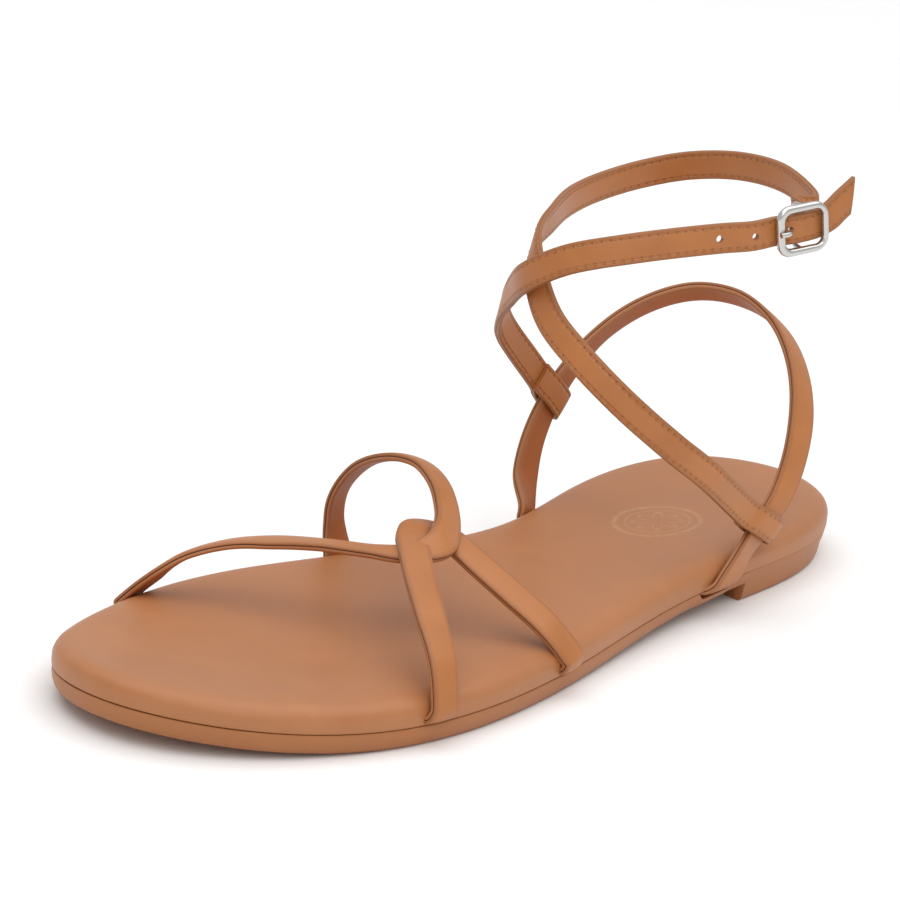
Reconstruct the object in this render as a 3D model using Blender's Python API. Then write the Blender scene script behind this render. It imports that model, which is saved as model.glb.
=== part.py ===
"""Flat strappy sandal for a left foot: unit sole, wrapped footbed, toe straps, heel strap, two ankle straps, buckle.

Metres, +Z up. The toe points to -Y, the outer side of the foot is +X and the inner side is -X.
The origin is on the floor under the middle of the heel.
"""

import math

import bpy
import bmesh
import numpy as np

# Driving sizes
LENGTH = 0.250
BALL_WIDTH = 0.087
HEEL_LENGTH = 0.061
OUTSOLE_THICKNESS = 0.0048
HEEL_RISE = 0.0030
WAIST_LIFT = 0.0040
TOE_SPRING = 0.0040
FOOTBED_THICKNESS = 0.0062
FOOTBED_ROUND = 0.0060
FOOTBED_DISH = 0.0012
OUTSOLE_INSET = 0.0002
BREAST_CURVE = 0.0030
TOE_STRAP_WIDTH = 0.0072
TOE_STRAP_THICKNESS = 0.0020
TOE_ARCH = 0.0280
HEEL_STRAP_WIDTH = 0.0070
HEEL_STRAP_THICKNESS = 0.0020
ANKLE_STRAP_WIDTH = 0.0069
ANKLE_STRAP_THICKNESS = 0.0016
ANKLE_HEIGHT = 0.0800
SLEEVE_WALL = 0.0012
LOOP_EASE = 0.0007
FOLD_WALL = 0.0009
HEEL_SEAT_DROP = 0.0015
STRAP_DIP = 0.0010
TUCK_DEPTH = 0.0070
BEND_INSIDE = 0.0010
BUCKLE_WIDTH = 0.0134
BUCKLE_HEIGHT = 0.0120
BUCKLE_CORNER = 0.0026
BUCKLE_WIRE = 0.0018
CENTRE_BAR_WIRE = 0.0012
PRONG_WIRE = 0.0011
HOLE_DIAMETER = 0.0017
HOLE_PITCH = 0.0088
HOLES_BEFORE = 2
GAP = 0.0003

HEEL_BACK = HEEL_LENGTH / 2
BREAST_SHARE = HEEL_LENGTH / LENGTH

# Sole outline: share of LENGTH from the back of the heel, then outer and inner half widths as shares of BALL_WIDTH
OUTLINE = [
    {"along": 0.035, "outer": 0.20, "inner": 0.24},
    {"along": 0.12, "outer": 0.32, "inner": 0.32},
    {"along": 0.24, "outer": 0.355, "inner": 0.29},
    {"along": 0.38, "outer": 0.38, "inner": 0.235},
    {"along": 0.52, "outer": 0.44, "inner": 0.345},
    {"along": 0.66, "outer": 0.495, "inner": 0.475},
    {"along": 0.78, "outer": 0.485, "inner": 0.50},
    {"along": 0.89, "outer": 0.375, "inner": 0.435},
    {"along": 0.965, "outer": 0.20, "inner": 0.305},
]
TOE_OFFSET = -0.035

# Where the underside leaves the floor, as shares of LENGTH
FLAT_FROM = 0.60
FLAT_TO = 0.80
RISE_FROM = 0.62
RISE_TO = 0.22

# Wall sections from bottom to top: inset as a share of FOOTBED_ROUND, height as a share of the layer's thickness
FOOTBED_WALL = [
    {"inset": 0.35, "height": 0.00},
    {"inset": 0.12, "height": 0.03},
    {"inset": 0.02, "height": 0.18},
    {"inset": 0.00, "height": 0.40},
    {"inset": 0.06, "height": 0.62},
    {"inset": 0.22, "height": 0.81},
    {"inset": 0.50, "height": 0.95},
    {"inset": 0.95, "height": 1.00},
]
OUTSOLE_WALL = [
    {"inset": 0.45, "height": 0.00},
    {"inset": 0.22, "height": 0.06},
    {"inset": 0.10, "height": 0.25},
    {"inset": 0.00, "height": 0.70},
    {"inset": 0.00, "height": 1.00},
]
HEEL_WALL = [
    {"inset": 0.36, "height": 0.00},
    {"inset": 0.24, "height": 0.10},
    {"inset": 0.12, "height": 0.70},
    {"inset": 0.50, "height": 0.84},
]

# The middle of the forefoot, the heel and the leg. A strap's face looks away from it.
# across is a share of BALL_WIDTH, along of LENGTH, rise of ANKLE_HEIGHT above the forefoot's top
FOREFOOT_LINE = [
    {"across": 0.00, "along": 0.95, "rise": -0.30},
    {"across": 0.00, "along": 0.45, "rise": -0.20},
]
HEEL_LINE = [
    {"across": 0.02, "along": 0.00, "rise": 0.10},
    {"across": 0.02, "along": 0.50, "rise": 0.30},
]
LEG_LINE = [
    {"across": 0.02, "along": 0.28, "rise": -0.20},
    {"across": 0.05, "along": 0.30, "rise": 1.40},
]

# Strap routes between their seats. across is a share of BALL_WIDTH, along of LENGTH,
# rise of TOE_ARCH or ANKLE_HEIGHT above the forefoot's top.
# turn is how far the face turns about the strap's own path, as a share of a right angle
TOE_OUTER_SEATS = {"front": {"along": 0.782, "slant": 0.25}, "back": {"along": 0.588, "slant": -0.05}}
TOE_OUTER_ROUTE = [
    {"across": 0.46, "along": 0.77, "rise": 0.22, "turn": -0.10},
    {"across": 0.35, "along": 0.74, "rise": 0.42, "turn": -0.15},
    {"across": 0.22, "along": 0.70, "rise": 0.56, "turn": -0.10},
    {"across": 0.11, "along": 0.66, "rise": 0.62, "turn": -0.05},
    {"across": 0.035, "along": 0.63, "rise": 0.62, "turn": 0.00},
    {"across": 0.005, "along": 0.605, "rise": 0.63, "turn": 0.00},
    {"across": 0.05, "along": 0.59, "rise": 0.58, "turn": 0.00},
    {"across": 0.13, "along": 0.60, "rise": 0.55, "turn": 0.05},
    {"across": 0.22, "along": 0.605, "rise": 0.46, "turn": 0.10},
    {"across": 0.32, "along": 0.605, "rise": 0.33, "turn": 0.10},
    {"across": 0.425, "along": 0.60, "rise": 0.15, "turn": 0.05},
]
TOE_INNER_SEATS = {"front": {"along": 0.790, "slant": 0.35}, "back": {"along": 0.545, "slant": 0.05}}
TOE_INNER_ROUTE = [
    {"across": -0.44, "along": 0.78, "rise": 0.16, "turn": 0.10},
    {"across": -0.40, "along": 0.76, "rise": 0.31, "turn": 0.15},
    {"across": -0.33, "along": 0.73, "rise": 0.42, "turn": 0.15},
    {"across": -0.24, "along": 0.705, "rise": 0.47, "turn": 0.10},
    {"across": -0.115, "along": 0.69, "rise": 0.53, "turn": -0.05},
    {"across": 0.01, "along": 0.675, "rise": 0.56, "turn": -0.10},
    {"across": 0.095, "along": 0.66, "rise": 0.585, "turn": -0.05},
    {"across": 0.125, "along": 0.635, "rise": 0.62, "turn": 0.10},
    {"across": 0.09, "along": 0.605, "rise": 0.67, "turn": 0.40},
    {"across": 0.03, "along": 0.58, "rise": 0.77, "turn": 0.40},
    {"across": -0.02, "along": 0.57, "rise": 0.90, "turn": 0.35},
    {"across": -0.10, "along": 0.56, "rise": 0.98, "turn": 0.30},
    {"across": -0.18, "along": 0.56, "rise": 0.98, "turn": 0.20},
    {"across": -0.30, "along": 0.555, "rise": 0.82, "turn": 0.05},
    {"across": -0.385, "along": 0.55, "rise": 0.50, "turn": -0.10},
    {"across": -0.405, "along": 0.545, "rise": 0.22, "turn": -0.15},
]
HEEL_STRAP_SEATS = {"outer": {"along": 0.306, "slant": 1.20}, "inner": {"along": 0.31, "slant": 0.20}}
HEEL_STRAP_ROUTE = [
    {"across": 0.365, "along": 0.26, "rise": 0.05, "turn": -0.05},
    {"across": 0.37, "along": 0.21, "rise": 0.20, "turn": -0.15},
    {"across": 0.335, "along": 0.175, "rise": 0.37, "turn": -0.10},
    {"across": 0.25, "along": 0.145, "rise": 0.50, "turn": 0.10},
    {"across": 0.12, "along": 0.12, "rise": 0.59, "turn": 0.25},
    {"across": 0.00, "along": 0.12, "rise": 0.635, "turn": 0.35},
    {"across": -0.12, "along": 0.135, "rise": 0.635, "turn": 0.30},
    {"across": -0.22, "along": 0.165, "rise": 0.585, "turn": 0.20},
    {"across": -0.29, "along": 0.205, "rise": 0.49, "turn": 0.10},
    {"across": -0.325, "along": 0.25, "rise": 0.34, "turn": 0.10},
    {"across": -0.335, "along": 0.275, "rise": 0.20, "turn": 0.10},
    {"across": -0.32, "along": 0.29, "rise": 0.08, "turn": 0.15},
]
# Where the ankle straps' loops sit, as shares of the heel strap's route from its outer end
OUTER_LOOP_AT = 0.16
INNER_LOOP_AT = 0.795
# From the outer loop, over the instep, round the inner side and the back of the leg, to the buckle
BUCKLE_STRAP_ROUTE = [
    {"across": 0.39, "along": 0.30, "rise": 0.215, "turn": 0.10},
    {"across": 0.38, "along": 0.35, "rise": 0.33, "turn": 0.10},
    {"across": 0.345, "along": 0.395, "rise": 0.43, "turn": 0.15},
    {"across": 0.255, "along": 0.435, "rise": 0.555, "turn": 0.10},
    {"across": 0.13, "along": 0.45, "rise": 0.665, "turn": 0.20},
    {"across": 0.015, "along": 0.445, "rise": 0.745, "turn": 0.20},
    {"across": -0.07, "along": 0.43, "rise": 0.835, "turn": 0.15},
    {"across": -0.135, "along": 0.405, "rise": 0.91, "turn": 0.00},
    {"across": -0.20, "along": 0.35, "rise": 0.94, "turn": 0.00},
    {"across": -0.275, "along": 0.285, "rise": 0.945, "turn": -0.05},
    {"across": -0.30, "along": 0.225, "rise": 0.955, "turn": 0.00},
    {"across": -0.265, "along": 0.175, "rise": 0.98, "turn": 0.05},
    {"across": -0.165, "along": 0.155, "rise": 1.02, "turn": 0.05},
    {"across": -0.02, "along": 0.15, "rise": 1.055, "turn": 0.05},
    {"across": 0.13, "along": 0.16, "rise": 1.07, "turn": 0.05},
    {"across": 0.25, "along": 0.18, "rise": 1.065, "turn": 0.10},
    {"across": 0.36, "along": 0.21, "rise": 1.045, "turn": 0.00},
]
# From the inner loop, over the instep and the other strap, to the buckle
HOLE_STRAP_ROUTE = [
    {"across": -0.36, "along": 0.30, "rise": 0.455, "turn": -0.10},
    {"across": -0.335, "along": 0.34, "rise": 0.565, "turn": -0.15},
    {"across": -0.26, "along": 0.385, "rise": 0.67, "turn": -0.15},
    {"across": -0.165, "along": 0.42, "rise": 0.765, "turn": -0.10},
    {"across": -0.06, "along": 0.45, "rise": 0.85, "turn": -0.10},
    {"across": 0.06, "along": 0.45, "rise": 0.93, "turn": -0.15},
    {"across": 0.20, "along": 0.42, "rise": 0.985, "turn": -0.10},
    {"across": 0.34, "along": 0.355, "rise": 1.02, "turn": -0.10},
]
# Shares of BUCKLE_WIDTH from the buckle's middle. slant keeps the tip's cut end upright
HOLE_STRAP_TIP = [
    {"ahead": 0.66, "out": -0.03, "up": 0.07, "slant": -0.15},
    {"ahead": 0.88, "out": -0.08, "up": 0.18, "slant": -0.45},
    {"ahead": 1.13, "out": -0.13, "up": 0.30, "slant": -0.80},
]
BUCKLE_PLACE = {"across": 0.425, "along": 0.28, "rise": 1.05}
BUCKLE_TURN = math.radians(65)
BUCKLE_SLOPE = math.radians(9)

OUTLINE_STATIONS = 40
HEEL_STATIONS = 37
RUNGS = 4
STEP = 0.0038

COLOURS = {
    "leather": (0.56, 0.27, 0.11, 1.0),
    "sole": (0.50, 0.23, 0.09, 1.0),
    "steel": (0.80, 0.80, 0.80, 1.0),
}


def clear_scene():
    for obj in list(bpy.data.objects):
        bpy.data.objects.remove(obj)


def material(name, colour, roughness, metallic):
    made = bpy.data.materials.new(name)
    made.use_nodes = True
    shader = made.node_tree.nodes["Principled BSDF"]
    shader.inputs["Base Color"].default_value = colour
    shader.inputs["Roughness"].default_value = roughness
    shader.inputs["Metallic"].default_value = metallic
    return made


def smooth(start, end, value):
    share = min(max((value - start) / (end - start), 0.0), 1.0)
    return share * share * (3 - 2 * share)


def unit(vector):
    return vector / np.linalg.norm(vector)


# Curves


def periodic_spline(points, count):
    """count points of a smooth closed curve through the given points."""
    points = np.array(points)
    total = len(points)
    gaps = np.linalg.norm(np.roll(points, -1, axis=0) - points, axis=1)
    system = np.zeros((total, total))
    known = np.zeros_like(points)
    for i in range(total):
        before = gaps[i - 1]
        after = gaps[i]
        system[i, (i - 1) % total] = after
        system[i, i] = 2 * (before + after)
        system[i, (i + 1) % total] = before
        rise_before = (points[i] - points[i - 1]) / before
        rise_after = (points[(i + 1) % total] - points[i]) / after
        known[i] = 3 * (after * rise_before + before * rise_after)
    slopes = np.linalg.solve(system, known)
    curve = []
    for i in range(total):
        j = (i + 1) % total
        for share in np.linspace(0, 1, count, endpoint=False):
            a = 2 * share**3 - 3 * share**2 + 1
            b = share**3 - 2 * share**2 + share
            c = share**3 - share**2
            curve.append(
                a * points[i] + b * gaps[i] * slopes[i] + (1 - a) * points[j] + c * gaps[i] * slopes[j]
            )
    return np.array(curve)


def route_curve(points, step=STEP):
    """Points about one step apart on a smooth open curve through the given points."""
    points = [np.array(p, float) for p in points]
    ends = [2 * points[0] - points[1], *points, 2 * points[-1] - points[-2]]
    curve = [points[0]]
    for p0, p1, p2, p3 in zip(ends, ends[1:], ends[2:], ends[3:]):
        t1 = np.linalg.norm(p1 - p0) ** 0.5
        t2 = t1 + np.linalg.norm(p2 - p1) ** 0.5
        t3 = t2 + np.linalg.norm(p3 - p2) ** 0.5
        pieces = max(2, math.ceil(np.linalg.norm(p2 - p1) / step))
        for i in range(1, pieces + 1):
            t = t1 + (t2 - t1) * i / pieces
            a = (p0 * (t1 - t) + p1 * t) / t1
            b = (p1 * (t2 - t) + p2 * (t - t1)) / (t2 - t1)
            c = (p2 * (t3 - t) + p3 * (t - t2)) / (t3 - t2)
            d = (a * (t2 - t) + b * t) / t2
            e = (b * (t3 - t) + c * (t - t1)) / (t3 - t1)
            curve.append((d * (t2 - t) + e * (t - t1)) / (t2 - t1))
    return np.array(curve)


def tangents(curve):
    ahead = np.gradient(curve, axis=0)
    return ahead / np.linalg.norm(ahead, axis=1)[:, None]


def at_share(curve, values, share):
    """The row of values at this share of the curve's length."""
    steps = np.linalg.norm(np.diff(curve, axis=0), axis=1)
    distance = np.concatenate([[0], np.cumsum(steps)])
    target = share * distance[-1]
    return np.array([np.interp(target, distance, column) for column in np.array(values).T])


# The last: outline, heights and the foot's middle line


def along_to_y(along):
    return HEEL_BACK - along * LENGTH


def y_to_along(y):
    return (HEEL_BACK - y) / LENGTH


def outline_sides():
    """Outer and inner sides of the sole's outline, from the back of the heel to the tip of the toe."""
    corners = [(0.0, along_to_y(0.0))]
    corners += [(row["outer"] * BALL_WIDTH, along_to_y(row["along"])) for row in OUTLINE]
    corners += [(TOE_OFFSET * BALL_WIDTH, along_to_y(1.0))]
    corners += [(-row["inner"] * BALL_WIDTH, along_to_y(row["along"])) for row in reversed(OUTLINE)]
    curve = periodic_spline(corners, 24)
    toe = int(np.argmin(curve[:, 1]))
    heel = int(np.argmax(curve[:, 1]))
    curve = np.roll(curve, -heel, axis=0)
    toe = (toe - heel) % len(curve)
    outer = curve[: toe + 1]
    inner = np.vstack([curve[toe:], curve[:1]])[::-1]
    return outer, inner


OUTER_SIDE, INNER_SIDE = outline_sides()


def outline_loop(count):
    """The outline as one loop: the heel's back, the outer side, the toe's tip, the inner side."""
    heel_y = OUTER_SIDE[0, 1]
    toe_y = OUTER_SIDE[-1, 1]
    turns = np.linspace(0, math.pi, count + 1)
    stations = heel_y + (toe_y - heel_y) * (1 - np.cos(turns)) / 2
    outer = [(np.interp(-y, -OUTER_SIDE[:, 1], OUTER_SIDE[:, 0]), y) for y in stations]
    inner = [(np.interp(-y, -INNER_SIDE[:, 1], INNER_SIDE[:, 0]), y) for y in stations[1:-1]]
    return np.array(outer + inner[::-1])


def inset_loop(loop, inset):
    ahead = np.roll(loop, -1, axis=0) - np.roll(loop, 1, axis=0)
    ahead /= np.linalg.norm(ahead, axis=1)[:, None]
    inward = np.column_stack([ahead[:, 1], -ahead[:, 0]])
    return loop + inward * inset


def edge_at(side, along):
    """A point of the outline, its outward direction and its direction towards the toe."""
    line = OUTER_SIDE if side == "outer" else INNER_SIDE
    y = along_to_y(along)
    point = np.array([np.interp(-y, -line[:, 1], line[:, 0]), y])
    reach = LENGTH / 100
    before = np.interp(-y - reach, -line[:, 1], line[:, 0])
    after = np.interp(-y + reach, -line[:, 1], line[:, 0])
    forward = unit(np.array([after - before, -2 * reach]))
    outward = np.array([-forward[1], forward[0]])
    if side == "inner":
        outward = -outward
    return point, outward, forward


def underside(y):
    """Height of the sole's underside, without the heel."""
    along = y_to_along(y)
    spring = TOE_SPRING * max(0.0, (along - FLAT_TO) / (1 - FLAT_TO)) ** 2
    return spring + WAIST_LIFT * smooth(FLAT_FROM, BREAST_SHARE, along)


def seam_height(y):
    """Height of the seam between outsole and footbed."""
    along = y_to_along(y)
    spring = TOE_SPRING * max(0.0, (along - FLAT_TO) / (1 - FLAT_TO)) ** 2
    return OUTSOLE_THICKNESS + spring + HEEL_RISE * smooth(RISE_FROM, RISE_TO, along)


def foot_point(row, height):
    """A table row as a place: rise is measured from the top of the forefoot, as a share of height."""
    base = OUTSOLE_THICKNESS + FOOTBED_THICKNESS
    return np.array(
        [row["across"] * BALL_WIDTH, along_to_y(row["along"]), base + row["rise"] * height]
    )


def faces_from(line, rows, places):
    """The way that a strap's face looks at each place: away from a straight line, then turned as its row says."""
    start, end = [foot_point(row, ANKLE_HEIGHT) for row in line]
    axis = unit(end - start)
    looks = []
    for row, place, ahead in zip(rows, places, tangents(np.array(places))):
        away = place - start - axis * np.dot(place - start, axis)
        away = unit(away - ahead * np.dot(away, ahead))
        angle = row["turn"] * math.pi / 2
        looks.append(away * math.cos(angle) + np.cross(ahead, away) * math.sin(angle))
    return looks


# Meshes


def make_object(name, points, faces, look):
    mesh = bpy.data.meshes.new(name)
    mesh.from_pydata([tuple(p) for p in points], [], faces)
    made = bmesh.new()
    made.from_mesh(mesh)
    bmesh.ops.recalc_face_normals(made, faces=made.faces)
    made.to_mesh(mesh)
    made.free()
    mesh.shade_smooth()
    mesh.set_sharp_from_angle(angle=math.radians(40))
    obj = bpy.data.objects.new(name, mesh)
    bpy.context.scene.collection.objects.link(obj)
    if look:
        mesh.materials.append(look)
    return obj


def helper(name, points, faces):
    obj = make_object(name, points, faces, None)
    obj.hide_render = True
    obj.display_type = "WIRE"
    return obj


def boolean(obj, other, operation):
    modifier = obj.modifiers.new(other.name, "BOOLEAN")
    modifier.object = other
    modifier.operation = operation
    modifier.solver = "EXACT"
    return modifier


def ring_faces(rings, size):
    """Quads between neighbouring rings of one size."""
    faces = []
    for ring in range(rings - 1):
        for i in range(size):
            j = (i + 1) % size
            low = ring * size
            high = low + size
            faces.append((low + i, low + j, high + j, high + i))
    return faces


def close_ladder(points, faces, start, height_of):
    """Closes a loop of the outline with rungs from the outer to the inner side."""
    size = 2 * OUTLINE_STATIONS
    rows = []
    for i in range(1, OUTLINE_STATIONS):
        outer = points[start + i]
        inner = points[start + size - i]
        row = [start + i]
        for k in range(1, RUNGS):
            share = k / RUNGS
            place = np.array(outer) * (1 - share) + np.array(inner) * share
            place[2] = height_of(place, 1 - abs(2 * share - 1))
            row.append(len(points))
            points.append(tuple(place))
        row.append(start + size - i)
        rows.append(row)
    for low, high in zip(rows, rows[1:]):
        for k in range(RUNGS):
            faces.append((low[k], low[k + 1], high[k + 1], high[k]))
    for tip, row in ((start, rows[0]), (start + OUTLINE_STATIONS, rows[-1])):
        for k in range(RUNGS):
            faces.append((tip, row[k], row[k + 1]))


def layer_solid(name, wall, base_of, top_of, base_inset, top_shape, look):
    """A sole layer: its wall's rings from bottom to top, closed below and above."""
    loop = outline_loop(OUTLINE_STATIONS)
    points = []
    for row in wall:
        ring = inset_loop(loop, base_inset + row["inset"] * FOOTBED_ROUND)
        for x, y in ring:
            low = base_of(y)
            points.append((x, y, low + row["height"] * (top_of(y) - low)))
    size = len(loop)
    faces = ring_faces(len(wall), size)
    close_ladder(points, faces, 0, lambda place, depth: base_of(place[1]))
    close_ladder(points, faces, (len(wall) - 1) * size, top_shape)
    return make_object(name, points, faces, look)


def band_section(width, thickness):
    """A strap's section: flat, with its edges rounded off."""
    half = width / 2
    deep = thickness / 2
    cut = thickness * 0.3
    return [
        (half, deep - cut),
        (half - cut, deep),
        (-half + cut, deep),
        (-half, deep - cut),
        (-half, -deep + cut),
        (-half + cut, -deep),
        (half - cut, -deep),
        (half, -deep + cut),
    ]


def wire_section(diameter, sides=8):
    turns = [2 * math.pi * i / sides for i in range(sides)]
    return [(diameter / 2 * math.cos(t), diameter / 2 * math.sin(t)) for t in turns]


def frames(curve, faces_out):
    """Width and face directions at each point of a route."""
    ahead = tangents(curve)
    across = np.cross(ahead, faces_out)
    across /= np.linalg.norm(across, axis=1)[:, None]
    outward = np.cross(across, ahead)
    return ahead, across, outward


def sweep(curve, faces_out, section, shears=0.0, closed=False):
    """Points and faces of a section carried along a route. A shear slants the section within the strap's face."""
    ahead, across, outward = frames(curve, faces_out)
    if closed:
        ahead = np.roll(curve, -1, axis=0) - np.roll(curve, 1, axis=0)
        across = np.cross(ahead, faces_out)
        across /= np.linalg.norm(across, axis=1)[:, None]
        outward = np.cross(across, ahead)
        outward /= np.linalg.norm(outward, axis=1)[:, None]
    across = across + ahead * np.reshape(shears, (-1, 1))
    points = []
    for place, side, out in zip(curve, across, outward):
        points += [tuple(place + side * u + out * v) for u, v in section]
    size = len(section)
    faces = ring_faces(len(curve), size)
    if closed:
        last = (len(curve) - 1) * size
        for i in range(size):
            j = (i + 1) % size
            faces.append((last + i, last + j, j, i))
    else:
        faces.append(tuple(range(size)))
        faces.append(tuple(range(len(points) - size, len(points))))
    return points, faces


# Strap seats between footbed and outsole


def seat_points(side, seat, thickness, drop=0.0):
    """A strap's tucked end, from inside the sole, round the seam and up the footbed's side.
    slant is how far it runs towards the heel for each unit that it goes up. Its edges stay parallel to the seam's."""
    point, outward, forward = edge_at(side, seat["along"])
    slant = seat["slant"]
    seam = seam_height(point[1])
    hidden = seam + GAP * 0.8 + thickness / 2 - drop
    proud = GAP + thickness / 2
    bend = thickness / 2 + BEND_INSIDE
    level = np.array([outward[0], outward[1], 0.0])
    down = np.array([0.0, 0.0, -1.0])
    start = proud - bend
    stages = []
    for out in (-TUCK_DEPTH, -TUCK_DEPTH * 0.6):
        stages.append((out, hidden, out - start, down))
    for turn in np.linspace(0, math.pi / 2, 4):
        out = start + bend * math.sin(turn)
        rise = hidden + bend * (1 - math.cos(turn))
        stages.append((out, rise, bend * turn, level * math.sin(turn) + down * math.cos(turn)))
    above = seam + FOOTBED_THICKNESS * 0.9 - drop
    stages.append((proud, above, above - hidden - bend + bend * math.pi / 2, level))
    turned = np.sign(np.dot(np.cross([0.0, 0.0, 1.0], level)[:2], forward))
    places = []
    outs = []
    for out, height, run, face in stages:
        flat = point + outward * out - forward * run * slant
        places.append(np.array([flat[0], flat[1], height]))
        outs.append(face)
    return places, outs, [-turned * slant] * len(stages)


def strap_route(start, middle, looks, end):
    """A route from one seat over the foot to the other, with the way that its face looks."""
    start_places, start_outs, start_shears = start
    end_places, end_outs, end_shears = end
    places = [*start_places, *middle, *end_places[::-1]]
    outs = [*start_outs, *looks, *end_outs[::-1]]
    shears = [*start_shears, *[0.0] * len(middle), *end_shears[::-1]]
    return fine_route(places, outs, shears)


def fine_route(places, outs, shears):
    """The finer curve, with its face directions and shears carried over from the given places."""
    curve = route_curve(places)
    marks = [int(np.argmin(np.linalg.norm(curve - place, axis=1))) for place in places]
    for i in range(1, len(marks)):
        marks[i] = max(marks[i], marks[i - 1] + 1)
    index = np.arange(len(curve))
    spread = np.column_stack([np.interp(index, marks, column) for column in np.array(outs).T])
    spread /= np.linalg.norm(spread, axis=1)[:, None]
    return curve, spread, np.interp(index, marks, shears)


def seat_cutter(name, route, width, thickness, from_start):
    """The room that a strap's seat needs in the footbed."""
    curve, outs, shears = route
    top = OUTSOLE_THICKNESS + HEEL_RISE + FOOTBED_THICKNESS + width / 2
    order = range(len(curve)) if from_start else range(len(curve) - 1, -1, -1)
    keep = []
    for i in order:
        keep.append(i)
        if curve[i, 2] > top:
            break
    curve = curve[keep].copy()
    curve[0] += unit(curve[0] - curve[1]) * GAP
    section = band_section(width + 2 * GAP, thickness + 2 * GAP)
    points, faces = sweep(curve, outs[keep], section, shears[keep])
    return helper(name, points, faces)


# Pieces


def build_outsole(look):
    def top_of(y):
        return seam_height(y) - GAP / 2

    def flat_top(place, depth):
        return top_of(place[1])

    outsole = layer_solid(
        "outsole", OUTSOLE_WALL, underside, top_of, OUTSOLE_INSET, flat_top, look
    )
    heel = build_heel_block()
    boolean(outsole, heel, "UNION")
    return outsole


def build_heel_block():
    """The heel under the outsole, down to the floor, with a curved front face."""
    loop = outline_loop(HEEL_STATIONS)
    breast = along_to_y(BREAST_SHARE)
    behind = sum(1 for x, y in loop[:HEEL_STATIONS] if y > breast + BREAST_CURVE / 3)
    points = []
    size = 0
    for row in HEEL_WALL:
        inset = OUTSOLE_INSET + row["inset"] * FOOTBED_ROUND
        ring = inset_loop(loop, inset)
        right = edge_at("outer", BREAST_SHARE)[0][0] - inset
        left = edge_at("inner", BREAST_SHARE)[0][0] + inset
        edge = []
        for share in np.linspace(0, 1, 9):
            x = right + (left - right) * share
            bow = BREAST_CURVE * (1 - (2 * share - 1) ** 2)
            edge.append((x, breast + bow - BREAST_CURVE * row["height"] / 2))
        ordered = [*ring[:behind], *edge, *ring[len(ring) - behind + 1 :]]
        size = len(ordered)
        height = row["height"] * (seam_height(breast) - GAP)
        points += [(x, y, height) for x, y in ordered]
    faces = ring_faces(len(HEEL_WALL), size)
    faces.append(tuple(range(size)))
    faces.append(tuple(range(len(points) - size, len(points))))
    return helper("heel_block", points, faces)


def build_footbed(look):
    def base_of(y):
        return seam_height(y) + GAP / 2

    def top_of(y):
        return seam_height(y) + FOOTBED_THICKNESS

    def dished(place, depth):
        return top_of(place[1]) - FOOTBED_DISH * depth

    return layer_solid("footbed", FOOTBED_WALL, base_of, top_of, 0.0, dished, look)


def toe_strap(side, seats, rows):
    front = seat_points(side, seats["front"], TOE_STRAP_THICKNESS)
    back = seat_points(side, seats["back"], TOE_STRAP_THICKNESS)
    middle = [foot_point(row, TOE_ARCH) for row in rows]
    return strap_route(front, middle, faces_from(FOREFOOT_LINE, rows, middle), back)


def build_toe_straps(look):
    """Two looped straps, each seated on its own side, hooked through each other and joined there."""
    section = band_section(TOE_STRAP_WIDTH, TOE_STRAP_THICKNESS)
    outer = toe_strap("outer", TOE_OUTER_SEATS, TOE_OUTER_ROUTE)
    inner = toe_strap("inner", TOE_INNER_SEATS, TOE_INNER_ROUTE)
    straps = make_object("toe_straps", *strap_mesh(outer, section), look)
    other = helper("toe_strap_inner", *strap_mesh(inner, section))
    boolean(straps, other, "UNION")
    cutters = []
    for name, route in (("toe_outer", outer), ("toe_inner", inner)):
        for end, from_start in (("front", True), ("back", False)):
            cutter = seat_cutter(
                f"{name}_{end}_seat", route, TOE_STRAP_WIDTH, TOE_STRAP_THICKNESS, from_start
            )
            cutters.append(cutter)
    return straps, cutters


def strap_mesh(route, section):
    curve, outs, shears = route
    return sweep(curve, outs, section, shears)


def build_heel_strap(look):
    outer = seat_points("outer", HEEL_STRAP_SEATS["outer"], HEEL_STRAP_THICKNESS, HEEL_SEAT_DROP)
    inner = seat_points("inner", HEEL_STRAP_SEATS["inner"], HEEL_STRAP_THICKNESS)
    middle = [foot_point(row, ANKLE_HEIGHT) for row in HEEL_STRAP_ROUTE]
    route = strap_route(outer, middle, faces_from(HEEL_LINE, HEEL_STRAP_ROUTE, middle), inner)
    section = band_section(HEEL_STRAP_WIDTH, HEEL_STRAP_THICKNESS)
    strap = make_object("heel_strap", *strap_mesh(route, section), look)
    cutters = []
    for end, from_start in (("outer", True), ("inner", False)):
        cutter = seat_cutter(
            f"heel_strap_{end}_seat", route, HEEL_STRAP_WIDTH, HEEL_STRAP_THICKNESS, from_start
        )
        cutters.append(cutter)
    return strap, cutters, route


def racetrack(width, thickness, corner_steps=4):
    """A flat loop with round ends, as (across, out) points."""
    half = (width - thickness) / 2
    radius = thickness / 2
    loop = []
    for centre, start in ((half, -math.pi / 2), (-half, math.pi / 2)):
        for i in range(corner_steps + 1):
            turn = start + math.pi * i / corner_steps
            loop.append((centre + radius * math.cos(turn), radius * math.sin(turn)))
    return loop


def sleeve(name, place, ahead, across, outward, hole_width, hole_thickness, length, wall):
    """A short flat tube round something that runs along ahead."""
    inner = racetrack(hole_width, hole_thickness)
    outer = racetrack(hole_width + 2 * wall, hole_thickness + 2 * wall)
    points = []
    for loop, end in ((outer, -0.5), (outer, 0.5), (inner, 0.5), (inner, -0.5)):
        for u, v in loop:
            points.append(tuple(place + across * u + outward * v + ahead * end * length))
    size = len(inner)
    faces = ring_faces(4, size)
    for i in range(size):
        j = (i + 1) % size
        faces.append((3 * size + i, 3 * size + j, j, i))
    return helper(name, points, faces)


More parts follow.
